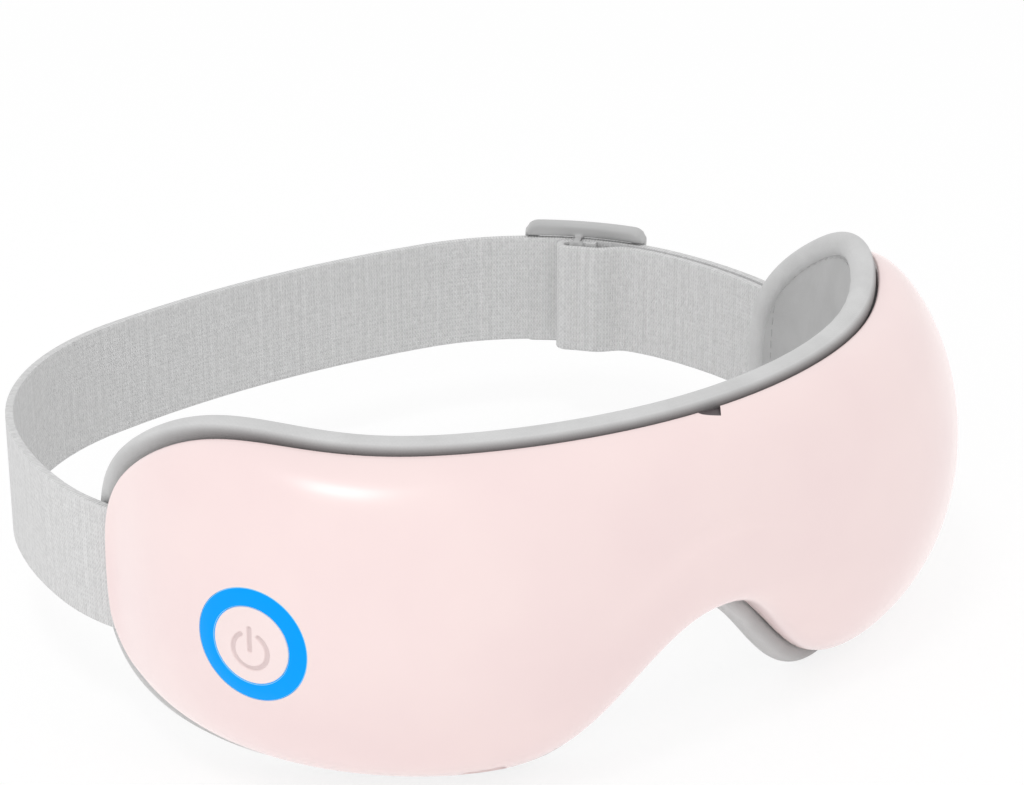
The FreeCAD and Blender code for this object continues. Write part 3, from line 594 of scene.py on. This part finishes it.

# %% [markdown]
# ## Cloth finishes
# The roll is covered in a fine brushed knit, the lining in a smoother, darker one, and the
# headband is woven elastic. A knit shows as close small loops: a fairly even pattern of cells
# raises each loop and darkens the gaps between. The roll also carries a painted shade along its side against the
# cover.

# %% Brushed knit


def knit(name, dark, light, pitch_mm, depth, sheen, painted_shade=None):
    settings = {"Roughness": 0.85, "IOR": 1.45, "Sheen Weight": sheen, "Sheen Roughness": 0.5}
    material, tree, shader, place = new_finish(name, settings)
    cells = {"Scale": 1 / (pitch_mm * MM), "Randomness": 0.35}
    loops = add(tree, "ShaderNodeTexVoronoi", cells, {"Vector": place}).outputs[0]
    mixed = maths(tree, "MULTIPLY_ADD", loops, 0.25, noise(tree, place, 9, 3.0))
    tint = two_tones(tree, mixed, light, dark, 0.35, 0.95)
    # Painted shade: the cloth is drawn to a darker tone where the mesh is marked.
    if painted_shade:
        tint = tinted(tree, tint, "painted_shade", painted_shade)
    into(shader, "Base Color", tint)
    bumped(tree, shader, loops, 0.5, depth, invert=True)
    return material


# The roll's painted shade, #787575, darkens its side pressed against the cover.
roll_knit = knit("grey_knit_brushed", "#C8C8C8", "#D6D6D6", 0.55, 0.08, 0.15, painted_shade="#787575")
lining_knit = knit("grey_knit_lining", "#B2B2B2", "#BEBEBE", 0.5, 0.06, 0.1)

# %% [markdown]
# ## The padded roll
# A stuffed tube runs all round the face side, over the wings' ends and under the nose. It is
# too slim for a cloth simulation on remeshed voxels, so its fullness is modelled directly: round
# hoops along a smooth line, drawn in a little at the seam, and pressed flat on the table.

# %% Line of the roll
roll_radius, roll_gap, roll_layer_step, roll_reach, roll_end_power = 2.9, 0.4, 3.45, 89.5, 7.0
roll_sink, roll_low, roll_low_power = 0.4, -0.3, 3.1
roll_top_power_left, roll_top_power_right = 3.05, 3.3


def roll_step(angle):
    # Towards its ends the pad stands further in: by one layer of webbing on the left, two on the right.
    layers = 1 if angle < 0 else 2
    return layers * roll_layer_step * min(abs(angle) / roll_reach, 1) ** roll_end_power


def roll_out(angle):
    return -roll_gap - roll_radius - roll_step(angle)


def roll_top(angle):
    return top_edge(angle, -roll_sink, roll_reach, roll_top_power_left if angle < 0 else roll_top_power_right)


def roll_low_edge(angle):
    return low_edge(angle, roll_low, roll_reach, roll_low_power)


roll_angles = spread_angles(roll_reach, 150)
roll_line = [(at(a, roll_out(a), roll_top(a)), outward(a)) for a in roll_angles]
roll_line += [(at(a, roll_out(a), roll_low_edge(a)), outward(a)) for a in roll_angles[-2:0:-1]]
roll_length = sum((roll_line[i][0] - roll_line[i - 1][0]).length for i in range(len(roll_line)))
print("roll", round(roll_length), "mm round")

# %% Roll


def even_line(line, step):
    # The same closed line with points at even distances.
    marks, run = [0.0], 0.0
    for i in range(len(line)):
        run += (line[(i + 1) % len(line)][0] - line[i][0]).length
        marks.append(run)
    count = round(run / step)
    result, i = [], 0
    for k in range(count):
        want = run * k / count
        while marks[i + 1] < want:
            i += 1
        share = (want - marks[i]) / (marks[i + 1] - marks[i])
        (a, out_a), (b, out_b) = line[i], line[(i + 1) % len(line)]
        result.append((a.lerp(b, share), out_a.lerp(out_b, share)))
    return result


hoop_step, hoop_points, seam_draw, pucker_depth, pucker_pitch = 1.2, 32, 0.05, 0.06, 7.0
# Painted shade on the roll's side against the cover: where it starts round each hoop, how fast it grows, and how
# it fades.
painted_shade_start, painted_shade_power, painted_shade_end, painted_shade_below = 0.72, 1.3, 0.6, 0.3
roll_ring = even_line(roll_line, hoop_step)
roll_loops, roll_painted_shade = [], []
for i, (centre, out) in enumerate(roll_ring):
    ahead = (roll_ring[(i + 1) % len(roll_ring)][0] - roll_ring[i - 1][0]).normalized()
    out = (out - ahead * out.dot(ahead)).normalized()
    side = out.cross(ahead)
    # The painted shade in the crease beside the cover fades at the wings' ends and below, where the roll stands
    # off it.
    fade = min(max(-out.y / painted_shade_end, 0), 1) * (1.0 if centre.z > 0 else painted_shade_below)
    wave = pucker_depth * math.sin(i * hoop_step * 2 * math.pi / pucker_pitch)
    hoop = []
    for turn in round_turns(hoop_points):
        inside = max(-math.cos(turn), 0)
        radius = roll_radius * (1 - seam_draw * inside ** 6) - wave * inside ** 4
        point = placed(centre + (out * math.cos(turn) + side * math.sin(turn)) * radius)
        point.z = max(point.z, 0.0)
        hoop.append(point)
        roll_painted_shade.append(fade * max((math.cos(turn) - painted_shade_start) / (1 - painted_shade_start), 0) ** painted_shade_power)
    roll_loops.append(hoop)
roll = new_piece("padded_roll", *skin(roll_loops, closed=True), [roll_knit])
mark(roll, "painted_shade", roll_painted_shade)
outward_faces(roll)
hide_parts("pad_roll")
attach(roll, "massager")
print("roll", len(roll.data.polygons), "faces")

# %% [markdown]
# ## The lining
# Between the runs of the roll lies a thin cushion with a darker cover, tucked under the roll
# along its edges and gently crowned towards the face. It holds no folds in the photograph, so
# a smooth crowned form with a soft edge is enough.

# %% Lining
frame_back, lining_stand, lining_thick, lining_crown = -1.9, 2.6, 1.6, 1.4
lining_tuck, lining_reach, lining_end_sink = 1.3, 88.2, 0.35
face_steps, flat_steps = 40, 8


def lean(edge, angle):
    run = (rim_point(angle + 1) - rim_point(angle - 1)).length
    return math.hypot(1, (edge(angle + 1) - edge(angle - 1)) / run)


def lining_heights(angle):
    high = roll_top(angle) - (roll_radius - lining_tuck) * lean(roll_top, angle)
    low = roll_low_edge(angle) + (roll_radius - lining_tuck) * lean(roll_low_edge, angle)
    return (high + low) / 2, (high - low) / 2


def lining_point(angle, share, swollen=1.0):
    # A point of the cushion's face side, or of its flat front where nothing is swollen.
    # Towards the ends it sinks between the runs of the roll.
    middle, half = lining_heights(angle)
    full = 1 - lining_end_sink * (abs(angle) / roll_reach) ** 6
    front = frame_back - lining_stand * full - roll_step(angle)
    swell = lining_thick * (1 - abs(share) ** 12) + lining_crown * (1 - share ** 2)
    return placed(at(angle, front - swell * full * swollen, middle + half * share))


def lining_loop(angle):
    shares = [math.sin(math.pi / 2 * (2 * i / face_steps - 1)) for i in range(face_steps + 1)]
    flat_shares = [1 - 2 * i / flat_steps for i in range(1, flat_steps)]
    return [lining_point(angle, s) for s in shares] + [lining_point(angle, s, 0.0) for s in flat_shares]


lining_loops = [lining_loop(a) for a in spread_angles(lining_reach, 60)]
lining = new_piece("face_lining_pad", *skin(lining_loops), [lining_knit])
outward_faces(lining)
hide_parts("face_lining")
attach(lining, "massager")
print("lining", len(lining.data.polygons), "faces")

# %% [markdown]
# ## The seam
# A row of short stitches holds the lining to the roll. They all are the same small stitch, laid
# at even steps along a line, so a node tree lays them: it cuts the line into steps, sets a
# stretched ball of thread on each and turns it along the line.

# %% Node tree for stitches


def new_geometry_tree(name, sizes):
    # A tree that takes a line and the named sizes.
    tree = bpy.data.node_groups.new(name, "GeometryNodeTree")
    tree.is_modifier = True
    sockets = [("Geometry", "OUTPUT", "Geometry"), ("Geometry", "INPUT", "Geometry")]
    for word, way, kind in sockets + [(word, "INPUT", "Float") for word in sizes]:
        tree.interface.new_socket(word, in_out=way, socket_type="NodeSocket" + kind)
    return tree, add(tree, "NodeGroupInput").outputs


def end_geometry_tree(tree, geometry, material):
    real = add(tree, "GeometryNodeRealizeInstances", links={"Geometry": geometry})
    smooth = add(tree, "GeometryNodeSetShadeSmooth", links={"Geometry": real})
    dyed = add(tree, "GeometryNodeSetMaterial", {"Material": material}, {"Geometry": smooth})
    add(tree, "NodeGroupOutput", links={"Geometry": dyed})


stitch_sizes = {"Pitch": 3.0 * MM, "Stitch length": 2.1 * MM, "Thread width": 0.36 * MM}
sew, sewn_from = new_geometry_tree("stitch_row", stitch_sizes)
steps = add(sew, "GeometryNodeResampleCurve", {"mode": "LENGTH"},
            {"Curve": sewn_from["Geometry"], "Length": sewn_from["Pitch"]})
turned = add(sew, "FunctionNodeAlignRotationToVector", {"axis": "X"},
             {"Vector": add(sew, "GeometryNodeInputTangent")})
ball = add(sew, "GeometryNodeMeshIcoSphere", {"Radius": 0.5, "Subdivisions": 2})
thread = sewn_from["Thread width"]
stretch = add(sew, "ShaderNodeCombineXYZ", links={"X": sewn_from["Stitch length"], "Y": thread, "Z": thread})
laid = add(sew, "GeometryNodeInstanceOnPoints",
           links={"Points": steps, "Instance": ball, "Rotation": turned, "Scale": stretch})
end_geometry_tree(sew, laid, lining_knit)


def from_nodes(name, tree, sizes, points, closed=False):
    # A plain mesh that the tree makes from a line of points.
    curve = bpy.data.curves.new(name, "CURVE")
    curve.dimensions = "3D"
    spline = curve.splines.new("POLY")
    spline.points.add(len(points) - 1)
    for knot, p in zip(spline.points, points):
        knot.co = (*p, 1.0)
    spline.use_cyclic_u = closed
    line_object = in_scene(name + "_line", curve)
    modifier = line_object.modifiers.new("nodes", "NODES")
    modifier.node_group = tree
    for socket in tree.interface.items_tree:
        if socket.name in sizes:
            modifier[socket.identifier] = sizes[socket.name]
    piece = in_scene(name, real_mesh(line_object))
    bpy.data.objects.remove(line_object)
    print(name, len(piece.data.polygons), "faces, tall", round(piece.dimensions.z / MM, 2), "mm")
    return piece

# %% Stitches along the lining's edge
seam_in, seam_reach = 1.45, 85.6
seam_angles = spread_angles(seam_reach, 80)


def seam_point(angle, side):
    return lining_point(angle, side * (1 - seam_in / lining_heights(angle)[1]))


end_share = 1 - seam_in / lining_heights(seam_reach)[1]
end_steps = [end_share * i / 10 for i in range(-9, 10)]
seam = [seam_point(a, 1) for a in seam_angles] + [lining_point(seam_reach, -s) for s in end_steps]
seam += [seam_point(a, -1) for a in seam_angles[::-1]] + [lining_point(-seam_reach, s) for s in end_steps]
stitches = from_nodes("lining_stitches", sew, stitch_sizes, seam, closed=True)
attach(stitches, "massager")

# %% [markdown]
# ## Woven elastic
# The headband is elastic webbing: rubber cores run along it, and fine ribs of thread cross it.
# The ribs are drawn 0.75 mm apart, about as coarse as the photograph shows them. The pattern
# follows two attributes of the swept mesh, the distance along and the distance across.

# %% Webbing finish
elastic = {"Roughness": 0.8, "IOR": 1.45, "Sheen Weight": 0.15, "Sheen Roughness": 0.4}
webbing, tree, shader, place = new_finish("grey_elastic_woven", elastic)
rib_pitch, thread_pitch, streak_size = 0.75 * MM, 1.1 * MM, 1.3 * MM
lengthwise, crosswise = marked(tree, "along"), marked(tree, "across")
ribs = maths(tree, "SINE", maths(tree, "MULTIPLY", lengthwise, 2 * math.pi / rib_pitch))
threads = maths(tree, "SINE", maths(tree, "MULTIPLY", crosswise, 2 * math.pi / thread_pitch))
weave = maths(tree, "MULTIPLY_ADD", ribs, 0.7, maths(tree, "MULTIPLY", ribs, threads))
# Threads are never quite even: some ribs are paler, some darker, all the way across.
streak = add(tree, "ShaderNodeTexNoise", {"noise_dimensions": "1D", "Scale": 1 / streak_size, "Detail": 2.0},
             {"W": lengthwise})
uneven = maths(tree, "MULTIPLY_ADD", streak.outputs[0], 0.4, -0.25)
faint = maths(tree, "MULTIPLY_ADD", noise(tree, place, 1.1, 4.0, 0.7), 1.1, uneven)
woven = maths(tree, "MULTIPLY_ADD", weave, 0.12, faint)
into(shader, "Base Color", two_tones(tree, woven, "#CFCFCF", "#E5E5E5", 0.25, 0.75))
bumped(tree, shader, weave, 0.6, 0.08)
print("webbing with ribs", rib_pitch / MM, "mm apart")

# %% [markdown]
# ## Sweeping the webbing
# A headband is one flat profile carried along a line, which is what a node tree does well: the
# line is a curve, the profile a rounded rectangle, and the tree keeps the distance along and
# across for the weave. The same tree makes the band and its return through the buckle.

# %% Node tree for webbing
webbing_sizes = {"Width": strap_wide * MM, "Thickness": strap_thick * MM, "Edge radius": 0.7 * MM}
sweep, swept_from = new_geometry_tree("webbing_sweep", webbing_sizes)


def stored(geometry, name, value):
    links = {"Geometry": geometry, "Value": value}
    return add(sweep, "GeometryNodeStoreNamedAttribute", {"Name": name}, links)


upright = add(sweep, "GeometryNodeSetCurveNormal", {"mode": "Z_UP"}, {"Curve": swept_from["Geometry"]})
length = add(sweep, "GeometryNodeSplineParameter")
line = stored(upright, "along", length.outputs["Length"])
flat = add(sweep, "GeometryNodeCurvePrimitiveQuadrilateral", {"mode": "RECTANGLE"},
           {"Width": swept_from["Thickness"], "Height": swept_from["Width"]})
dense = add(sweep, "GeometryNodeSubdivideCurve", {"Cuts": 8}, {"Curve": flat})
rounded = add(sweep, "GeometryNodeFilletCurve", {"mode": "POLY", "Count": 5, "Limit Radius": True},
              {"Curve": dense, "Radius": swept_from["Edge radius"]})
apart = add(sweep, "ShaderNodeSeparateXYZ", links={0: add(sweep, "GeometryNodeInputPosition")})
profile = stored(rounded, "across", apart.outputs["Y"])
swept = add(sweep, "GeometryNodeCurveToMesh", {"Fill Caps": True},
            {"Curve": line, "Profile Curve": profile})
end_geometry_tree(sweep, swept, webbing)


def swept_webbing(name, points):
    piece = from_nodes(name, sweep, webbing_sizes, [placed(p) for p in points])
    outward_faces(piece)
    piece.data.set_sharp_from_angle(angle=math.radians(70))
    return piece

# %% [markdown]
# ## The headband's line
# The line is a chain of arcs that meet smoothly: a flat back, a tighter corner, the side, and a
# bend into the wing, where each end is sewn round a flat bar. On the right the webbing also
# comes back inside itself to the buckle, and turns over the buckle's middle bar.

# %% Chain of arcs
corner_radius, back_turn, corner_turn, slide_gap = 62.5, 11.0, 62.0, 0.3
bar_turn_radius, straight_pieces, least_pieces, piece_turn = 1.45, 8, 6, 3
plan = [(240.0, back_turn), (corner_radius, corner_turn), (100.0, 17.0), (52.0, 23.0), (30.0, -17.0), (0, 22.0)]


def facing(heading):
    a = math.radians(heading)
    return Vector((math.cos(a), -math.sin(a), 0))


def right_of(heading):
    return facing(heading + 90)


def chain(start, heading, steps, mirror=1):
    # Points along tangent arcs and straight runs: each step is a radius and a turn, or 0 and a length.
    points = [start.copy()]
    for radius, amount in steps:
        if radius == 0:
            run = facing(heading) * amount
            points += [start + run * (i + 1) / straight_pieces for i in range(straight_pieces)]
        else:
            hand = math.copysign(1, amount)
            hub = start + right_of(heading) * radius * hand
            pieces = max(least_pieces, round(abs(amount) / piece_turn))
            turns = [heading + amount * (i + 1) / pieces for i in range(pieces)]
            points += [hub - right_of(turn) * radius * hand for turn in turns]
            heading += amount
        start = points[-1]
    return [Vector((p.x * mirror, p.y, p.z)) for p in points]


back_middle = Vector((0, strap_back, 0))
sewn_end = [(bar_turn_radius, 180.0), (0, 8.0)]
right_side = chain(back_middle, 0, plan)
left_side = chain(back_middle, 0, plan + sewn_end, mirror=-1)
band = swept_webbing("headband", left_side[:0:-1] + right_side)
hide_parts("strap_band")
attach(band, "massager")

# %% The return through the buckle
corner_start = chain(back_middle, 0, plan[:1])[-1]
hub = corner_start + right_of(back_turn) * corner_radius
buckle_heading, buckle_length, buckle_bar, buckle_bar_thick = back_turn + 37.0, 31.0, 3.6, 2.0
buckle_rail, buckle_centre_bar = 1.8, 4.0
bar_in = corner_radius + strap_thick / 2 + slide_gap
tail = corner_radius - strap_thick - slide_gap
middle_out = tail - strap_thick / 2 - slide_gap
middle_in = middle_out - buckle_bar_thick
inner = middle_in - slide_gap - strap_thick / 2
loop_tail, loop_run, loop_bend = 7.0, 6.0, 8.0


def triangle_angle(far, near_a, near_b):
    return math.degrees(math.acos((near_a ** 2 + near_b ** 2 - far ** 2) / (2 * near_a * near_b)))


def arc_degrees(distance_round):
    return math.degrees(distance_round / corner_radius)


fold = buckle_heading - arc_degrees(buckle_centre_bar / 2)
layer = corner_radius - 2 * bar_turn_radius
leave = triangle_angle(layer - loop_bend, inner + loop_bend, 2 * loop_bend)
passed = triangle_angle(2 * loop_bend, inner + loop_bend, layer - loop_bend)
run_turn = math.degrees(loop_run / inner)
rest_turn = back_turn + corner_turn - fold - run_turn - passed
tail_turn = arc_degrees(loop_tail)
return_plan = [(tail, -tail_turn), ((tail - inner) / 2, -180), (inner, run_turn), (loop_bend, -leave)]
return_plan += [(loop_bend, leave + passed), (layer, rest_turn)]
return_plan += [(r and r - math.copysign(2 * bar_turn_radius, turn), turn) for r, turn in plan[2:]]
return_plan.append((bar_turn_radius, -180))
start = hub - right_of(fold + tail_turn) * tail
return_band = swept_webbing("headband_return", chain(start, fold + tail_turn + 180, return_plan))
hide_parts("strap_return")

# %% [markdown]
# ## The slide buckle
# A three-bar slide, moulded in one piece: two rails, two outer bars, and a middle bar on lugs.
# Modelled as rounded bars laid along the headband's corner, then remeshed as one skin and
# smoothed, it gets the small fillets that a moulding has where its bars meet.

# %% Buckle
half_length = arc_degrees(buckle_length / 2)
clear = strap_wide / 2 + slide_gap
bar_steps, bar_sides = 30, 24
tip_shares = ((0, 0.35), (0.3, 0.75), (1, 1.0))     # how full a bar is near its ends


def bent_bar(first, last, near, far, low, high, edge, corner=0.0):
    # A rounded bar along the corner's arc, between two headings; its outer corners may be round.
    mid_r, mid_z = (near + far) / 2, (low + high) / 2
    half_r, half_z = (far - near) / 2 - edge, (high - low) / 2 - edge
    corners = []
    for turn in round_turns(bar_sides):
        over, up = math.cos(turn), math.sin(turn)
        corners.append((mid_r + math.copysign(half_r, over) + edge * over,
                        mid_z + math.copysign(half_z, up) + edge * up))
    span, tip = last - first, arc_degrees(edge)
    tips = [(tip * share, grow) for share, grow in tip_shares]
    stops = tips + [(tip + (span - 2 * tip) * i / bar_steps, 1.0) for i in range(1, bar_steps)]
    stops += [(span - step, grow) for step, grow in tips[::-1]]
    loops = []
    for step, grow in stops:
        shrink = edge * (1 - grow)
        past = max(corner - math.radians(min(step, span - step)) * corner_radius, 0)
        fall = corner - math.sqrt(corner ** 2 - past ** 2)
        loop = []
        for r, z in corners:
            r = r - math.copysign(min(shrink, abs(r - mid_r)), r - mid_r)
            z = z - math.copysign(min(shrink, abs(z - mid_z)), z - mid_z)
            if (z - mid_z) * mid_z > 0:
                z -= math.copysign(fall, mid_z)
            loop.append(placed(hub - right_of(first + step) * r + Vector((0, 0, z))))
        loops.append(loop)
    return skin(loops)


top, outer = clear + buckle_rail, bar_in + buckle_bar_thick
wide, reach = arc_degrees(buckle_bar), arc_degrees(buckle_centre_bar / 2)
rail_shift, rail_end_shift, bar_inset = 1.6, 1.3, 0.1      # degrees along the headband
rail_edge, bar_edge, lug_edge, top_corner, low_corner = 1.1, 0.9, 0.35, 3.2, 1.6
top_more, side_more, low_reach, low_rise, lug_high, lug_low, bar_over = 1.7, 0.3, 1.1, 0.9, 0.7, 0.1, 0.4
rail_first = buckle_heading - half_length + rail_shift
rail_last = buckle_heading + half_length + rail_end_shift
rail_in, rail_out = corner_radius - strap_thick / 2, outer + side_more
rail = (rail_first, rail_last)
bars = [bent_bar(*rail, rail_in, rail_out, clear, top + top_more, rail_edge, top_corner),
        bent_bar(*rail, bar_in, rail_out, -clear - low_reach, -clear + low_rise, bar_edge, low_corner)]
for low, high in ((clear - lug_low, clear + lug_high), (-clear - lug_high, -clear + lug_low)):
    lug = (buckle_heading - reach / 2, buckle_heading + reach / 2)
    bars.append(bent_bar(*lug, middle_in, outer, low, high, lug_edge))
for first in (rail_first - bar_inset, rail_last - bar_inset - wide):
    bars.append(bent_bar(first, first + wide, bar_in, outer, -clear - bar_over, clear + 2 * bar_over, bar_edge))
middle_bar = (buckle_heading - reach, buckle_heading + reach)
bars.append(bent_bar(*middle_bar, middle_in, middle_out, -clear - bar_over, clear + bar_over, bar_edge))
buckle_points, buckle_faces = [], []
for points, faces in bars:
    buckle_faces += [tuple(k + len(buckle_points) for k in face) for face in faces]
    buckle_points += points
buckle = new_piece("slide_buckle_moulded", buckle_points, buckle_faces, [buckle_nylon])
outward_faces(buckle)
fuse = buckle.modifiers.new("fuse", "REMESH")
fuse.mode, fuse.voxel_size, fuse.use_smooth_shade = "VOXEL", 0.3 * MM, True
soften = buckle.modifiers.new("soften", "SMOOTH")
soften.factor, soften.iterations = 0.5, 6
plain_mesh(buckle)
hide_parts("slide_buckle")
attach(buckle, "buckle")
print("buckle", len(buckle.data.polygons), "faces")

# %% The return bends between the headband and the buckle
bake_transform(return_band)

# %% [markdown]
# ## The works inside
# Boards, motors, tubes and bags are closed in and seen only in a cut model, but each still
# gets the finish of its real material: glass laminate, nickelled steel, a foil battery pouch.

# %% Finishes of the works
metal_spread = 0.08


def metal(name, dark, light, roughness, grain_mm):
    material, tree, shader, place = new_finish(name, {"Metallic": 1.0})
    brushed = noise(tree, place, grain_mm, 4.0)
    into(shader, "Base Color", two_tones(tree, brushed, dark, light))
    settings = {"To Min": roughness - metal_spread, "To Max": roughness + metal_spread}
    into(shader, "Roughness", add(tree, "ShaderNodeMapRange", settings, {"Value": brushed}).outputs[0])
    return material


finishes = {
    "inner_plastic": moulded("grey_abs_frame", "#77787B", "#828386", 0.5, 0.6, 0.02),
    "black_plastic": moulded("black_nylon_moulded", "#1B1B1D", "#242427", 0.45, 0.5, 0.02),
    "board_laminate": moulded("glass_laminate_green", "#1F5B3A", "#256B44", 0.4, 0.3, 0.02),
    "lamp_resin": moulded("clear_lamp_resin", "#E9E4C8", "#F2EED8", 0.3, 0.5, 0.01),
    "steel": metal("nickelled_steel", "#A9ABAE", "#C4C6C8", 0.3, 0.6),
    "battery_can": metal("foil_pouch", "#B9BCC0", "#CFD1D4", 0.38, 2.0),
    "silicone": moulded("milky_silicone_cast", "#DAD9D4", "#E4E3DF", 0.42, 0.8, 0.02),
    "heating_film": moulded("polyimide_film_amber", "#B5651D", "#C4752B", 0.35, 0.6, 0.01),
}
shown = 0
for part in frame["record"]["subparts"]:
    finish = finishes.get(part["material_slot"])
    if finish:
        mesh = frame["nodes"][part["node"]].data
        mesh.materials.clear()
        mesh.materials.append(finish)
        shown += 1
print("works finished", shown)

# %% [markdown]
# ## Table, light and background
# The photograph has a plain white ground and soft light from all round, with one small soft
# box overhead that draws the highlight on the cover's shoulder. A weak one on the left only
# lifts the shade. Sky and paper are white to the camera, brighter in reflections, which draws
# the pale line along the cover's edges, and the sky is a little dimmer as a lamp, so that pale
# colours stay below white.

# %% Floor and backdrop
paper_white, paper_level, paper_glow, floor_half = 0.8, 1.02, 0.3, 3.0
paper = {"Roughness": 0.9, "Specular IOR Level": 0.1}
floor_finish, tree, shader, place = new_finish("white_paper_sweep", paper)
into(shader, "Base Color", two_tones(tree, noise(tree, place, 2, 4.0), "#FBFBFB", "#FFFFFF"))
rays = add(tree, "ShaderNodeLightPath").outputs
seen = maths(tree, "MAXIMUM", rays["Is Camera Ray"], rays["Is Glossy Ray"])
strength = maths(tree, "MULTIPLY_ADD", rays["Is Glossy Ray"], paper_glow, paper_level)
white = add(tree, "ShaderNodeEmission", {"Color": (1, 1, 1, 1)}, {"Strength": strength})
share = maths(tree, "MULTIPLY", seen, paper_white)
lifted = add(tree, "ShaderNodeMixShader", links={0: share, 1: shader, 2: white})
into(tree.nodes["Material Output"], "Surface", lifted.outputs[0])
floor_corners = [(x * floor_half, y * floor_half, 0) for x, y in ((-1, -1), (1, -1), (1, 1), (-1, 1))]
floor = new_piece("paper_floor", floor_corners, [(0, 1, 2, 3)], [floor_finish])

# %% Sky
sky_level, sky_glow = 0.83, 0.25
world = bpy.data.worlds.new("studio_white")
bpy.context.scene.world = world
world.use_nodes = True
air = world.node_tree
air.nodes.clear()
sky_rays = add(air, "ShaderNodeLightPath").outputs
level = maths(air, "MULTIPLY_ADD", sky_rays["Is Camera Ray"], 1 - sky_level, sky_level)
sky_strength = maths(air, "MULTIPLY_ADD", sky_rays["Is Glossy Ray"], sky_glow, level)
sky = add(air, "ShaderNodeBackground", {"Color": (1, 1, 1, 1)}, {"Strength": sky_strength})
add(air, "ShaderNodeOutputWorld", links={"Surface": sky})

# %% Soft boxes


def soft_box(name, place, aim, width, tall, power, mirrored):
    lamp = bpy.data.lights.new(name, "AREA")
    lamp.shape, lamp.size, lamp.size_y, lamp.energy = "RECTANGLE", width, tall, power
    lamp_object = in_scene(name, lamp)
    lamp_object.location = place
    lamp_object.rotation_euler = (Vector(place) - Vector(aim)).to_track_quat("Z", "Y").to_euler()
    lamp_object.visible_glossy = mirrored


soft_box("top_box", (-0.43, -0.28, 1.19), (-0.06, -0.06, 0.06), 0.24, 0.24, 2.0, True)
soft_box("left_box", (-1.1, -0.7, 0.5), (0, 0, 0.03), 0.5, 0.5, 1.3, False)
bpy.context.scene.view_settings.view_transform = "Standard"
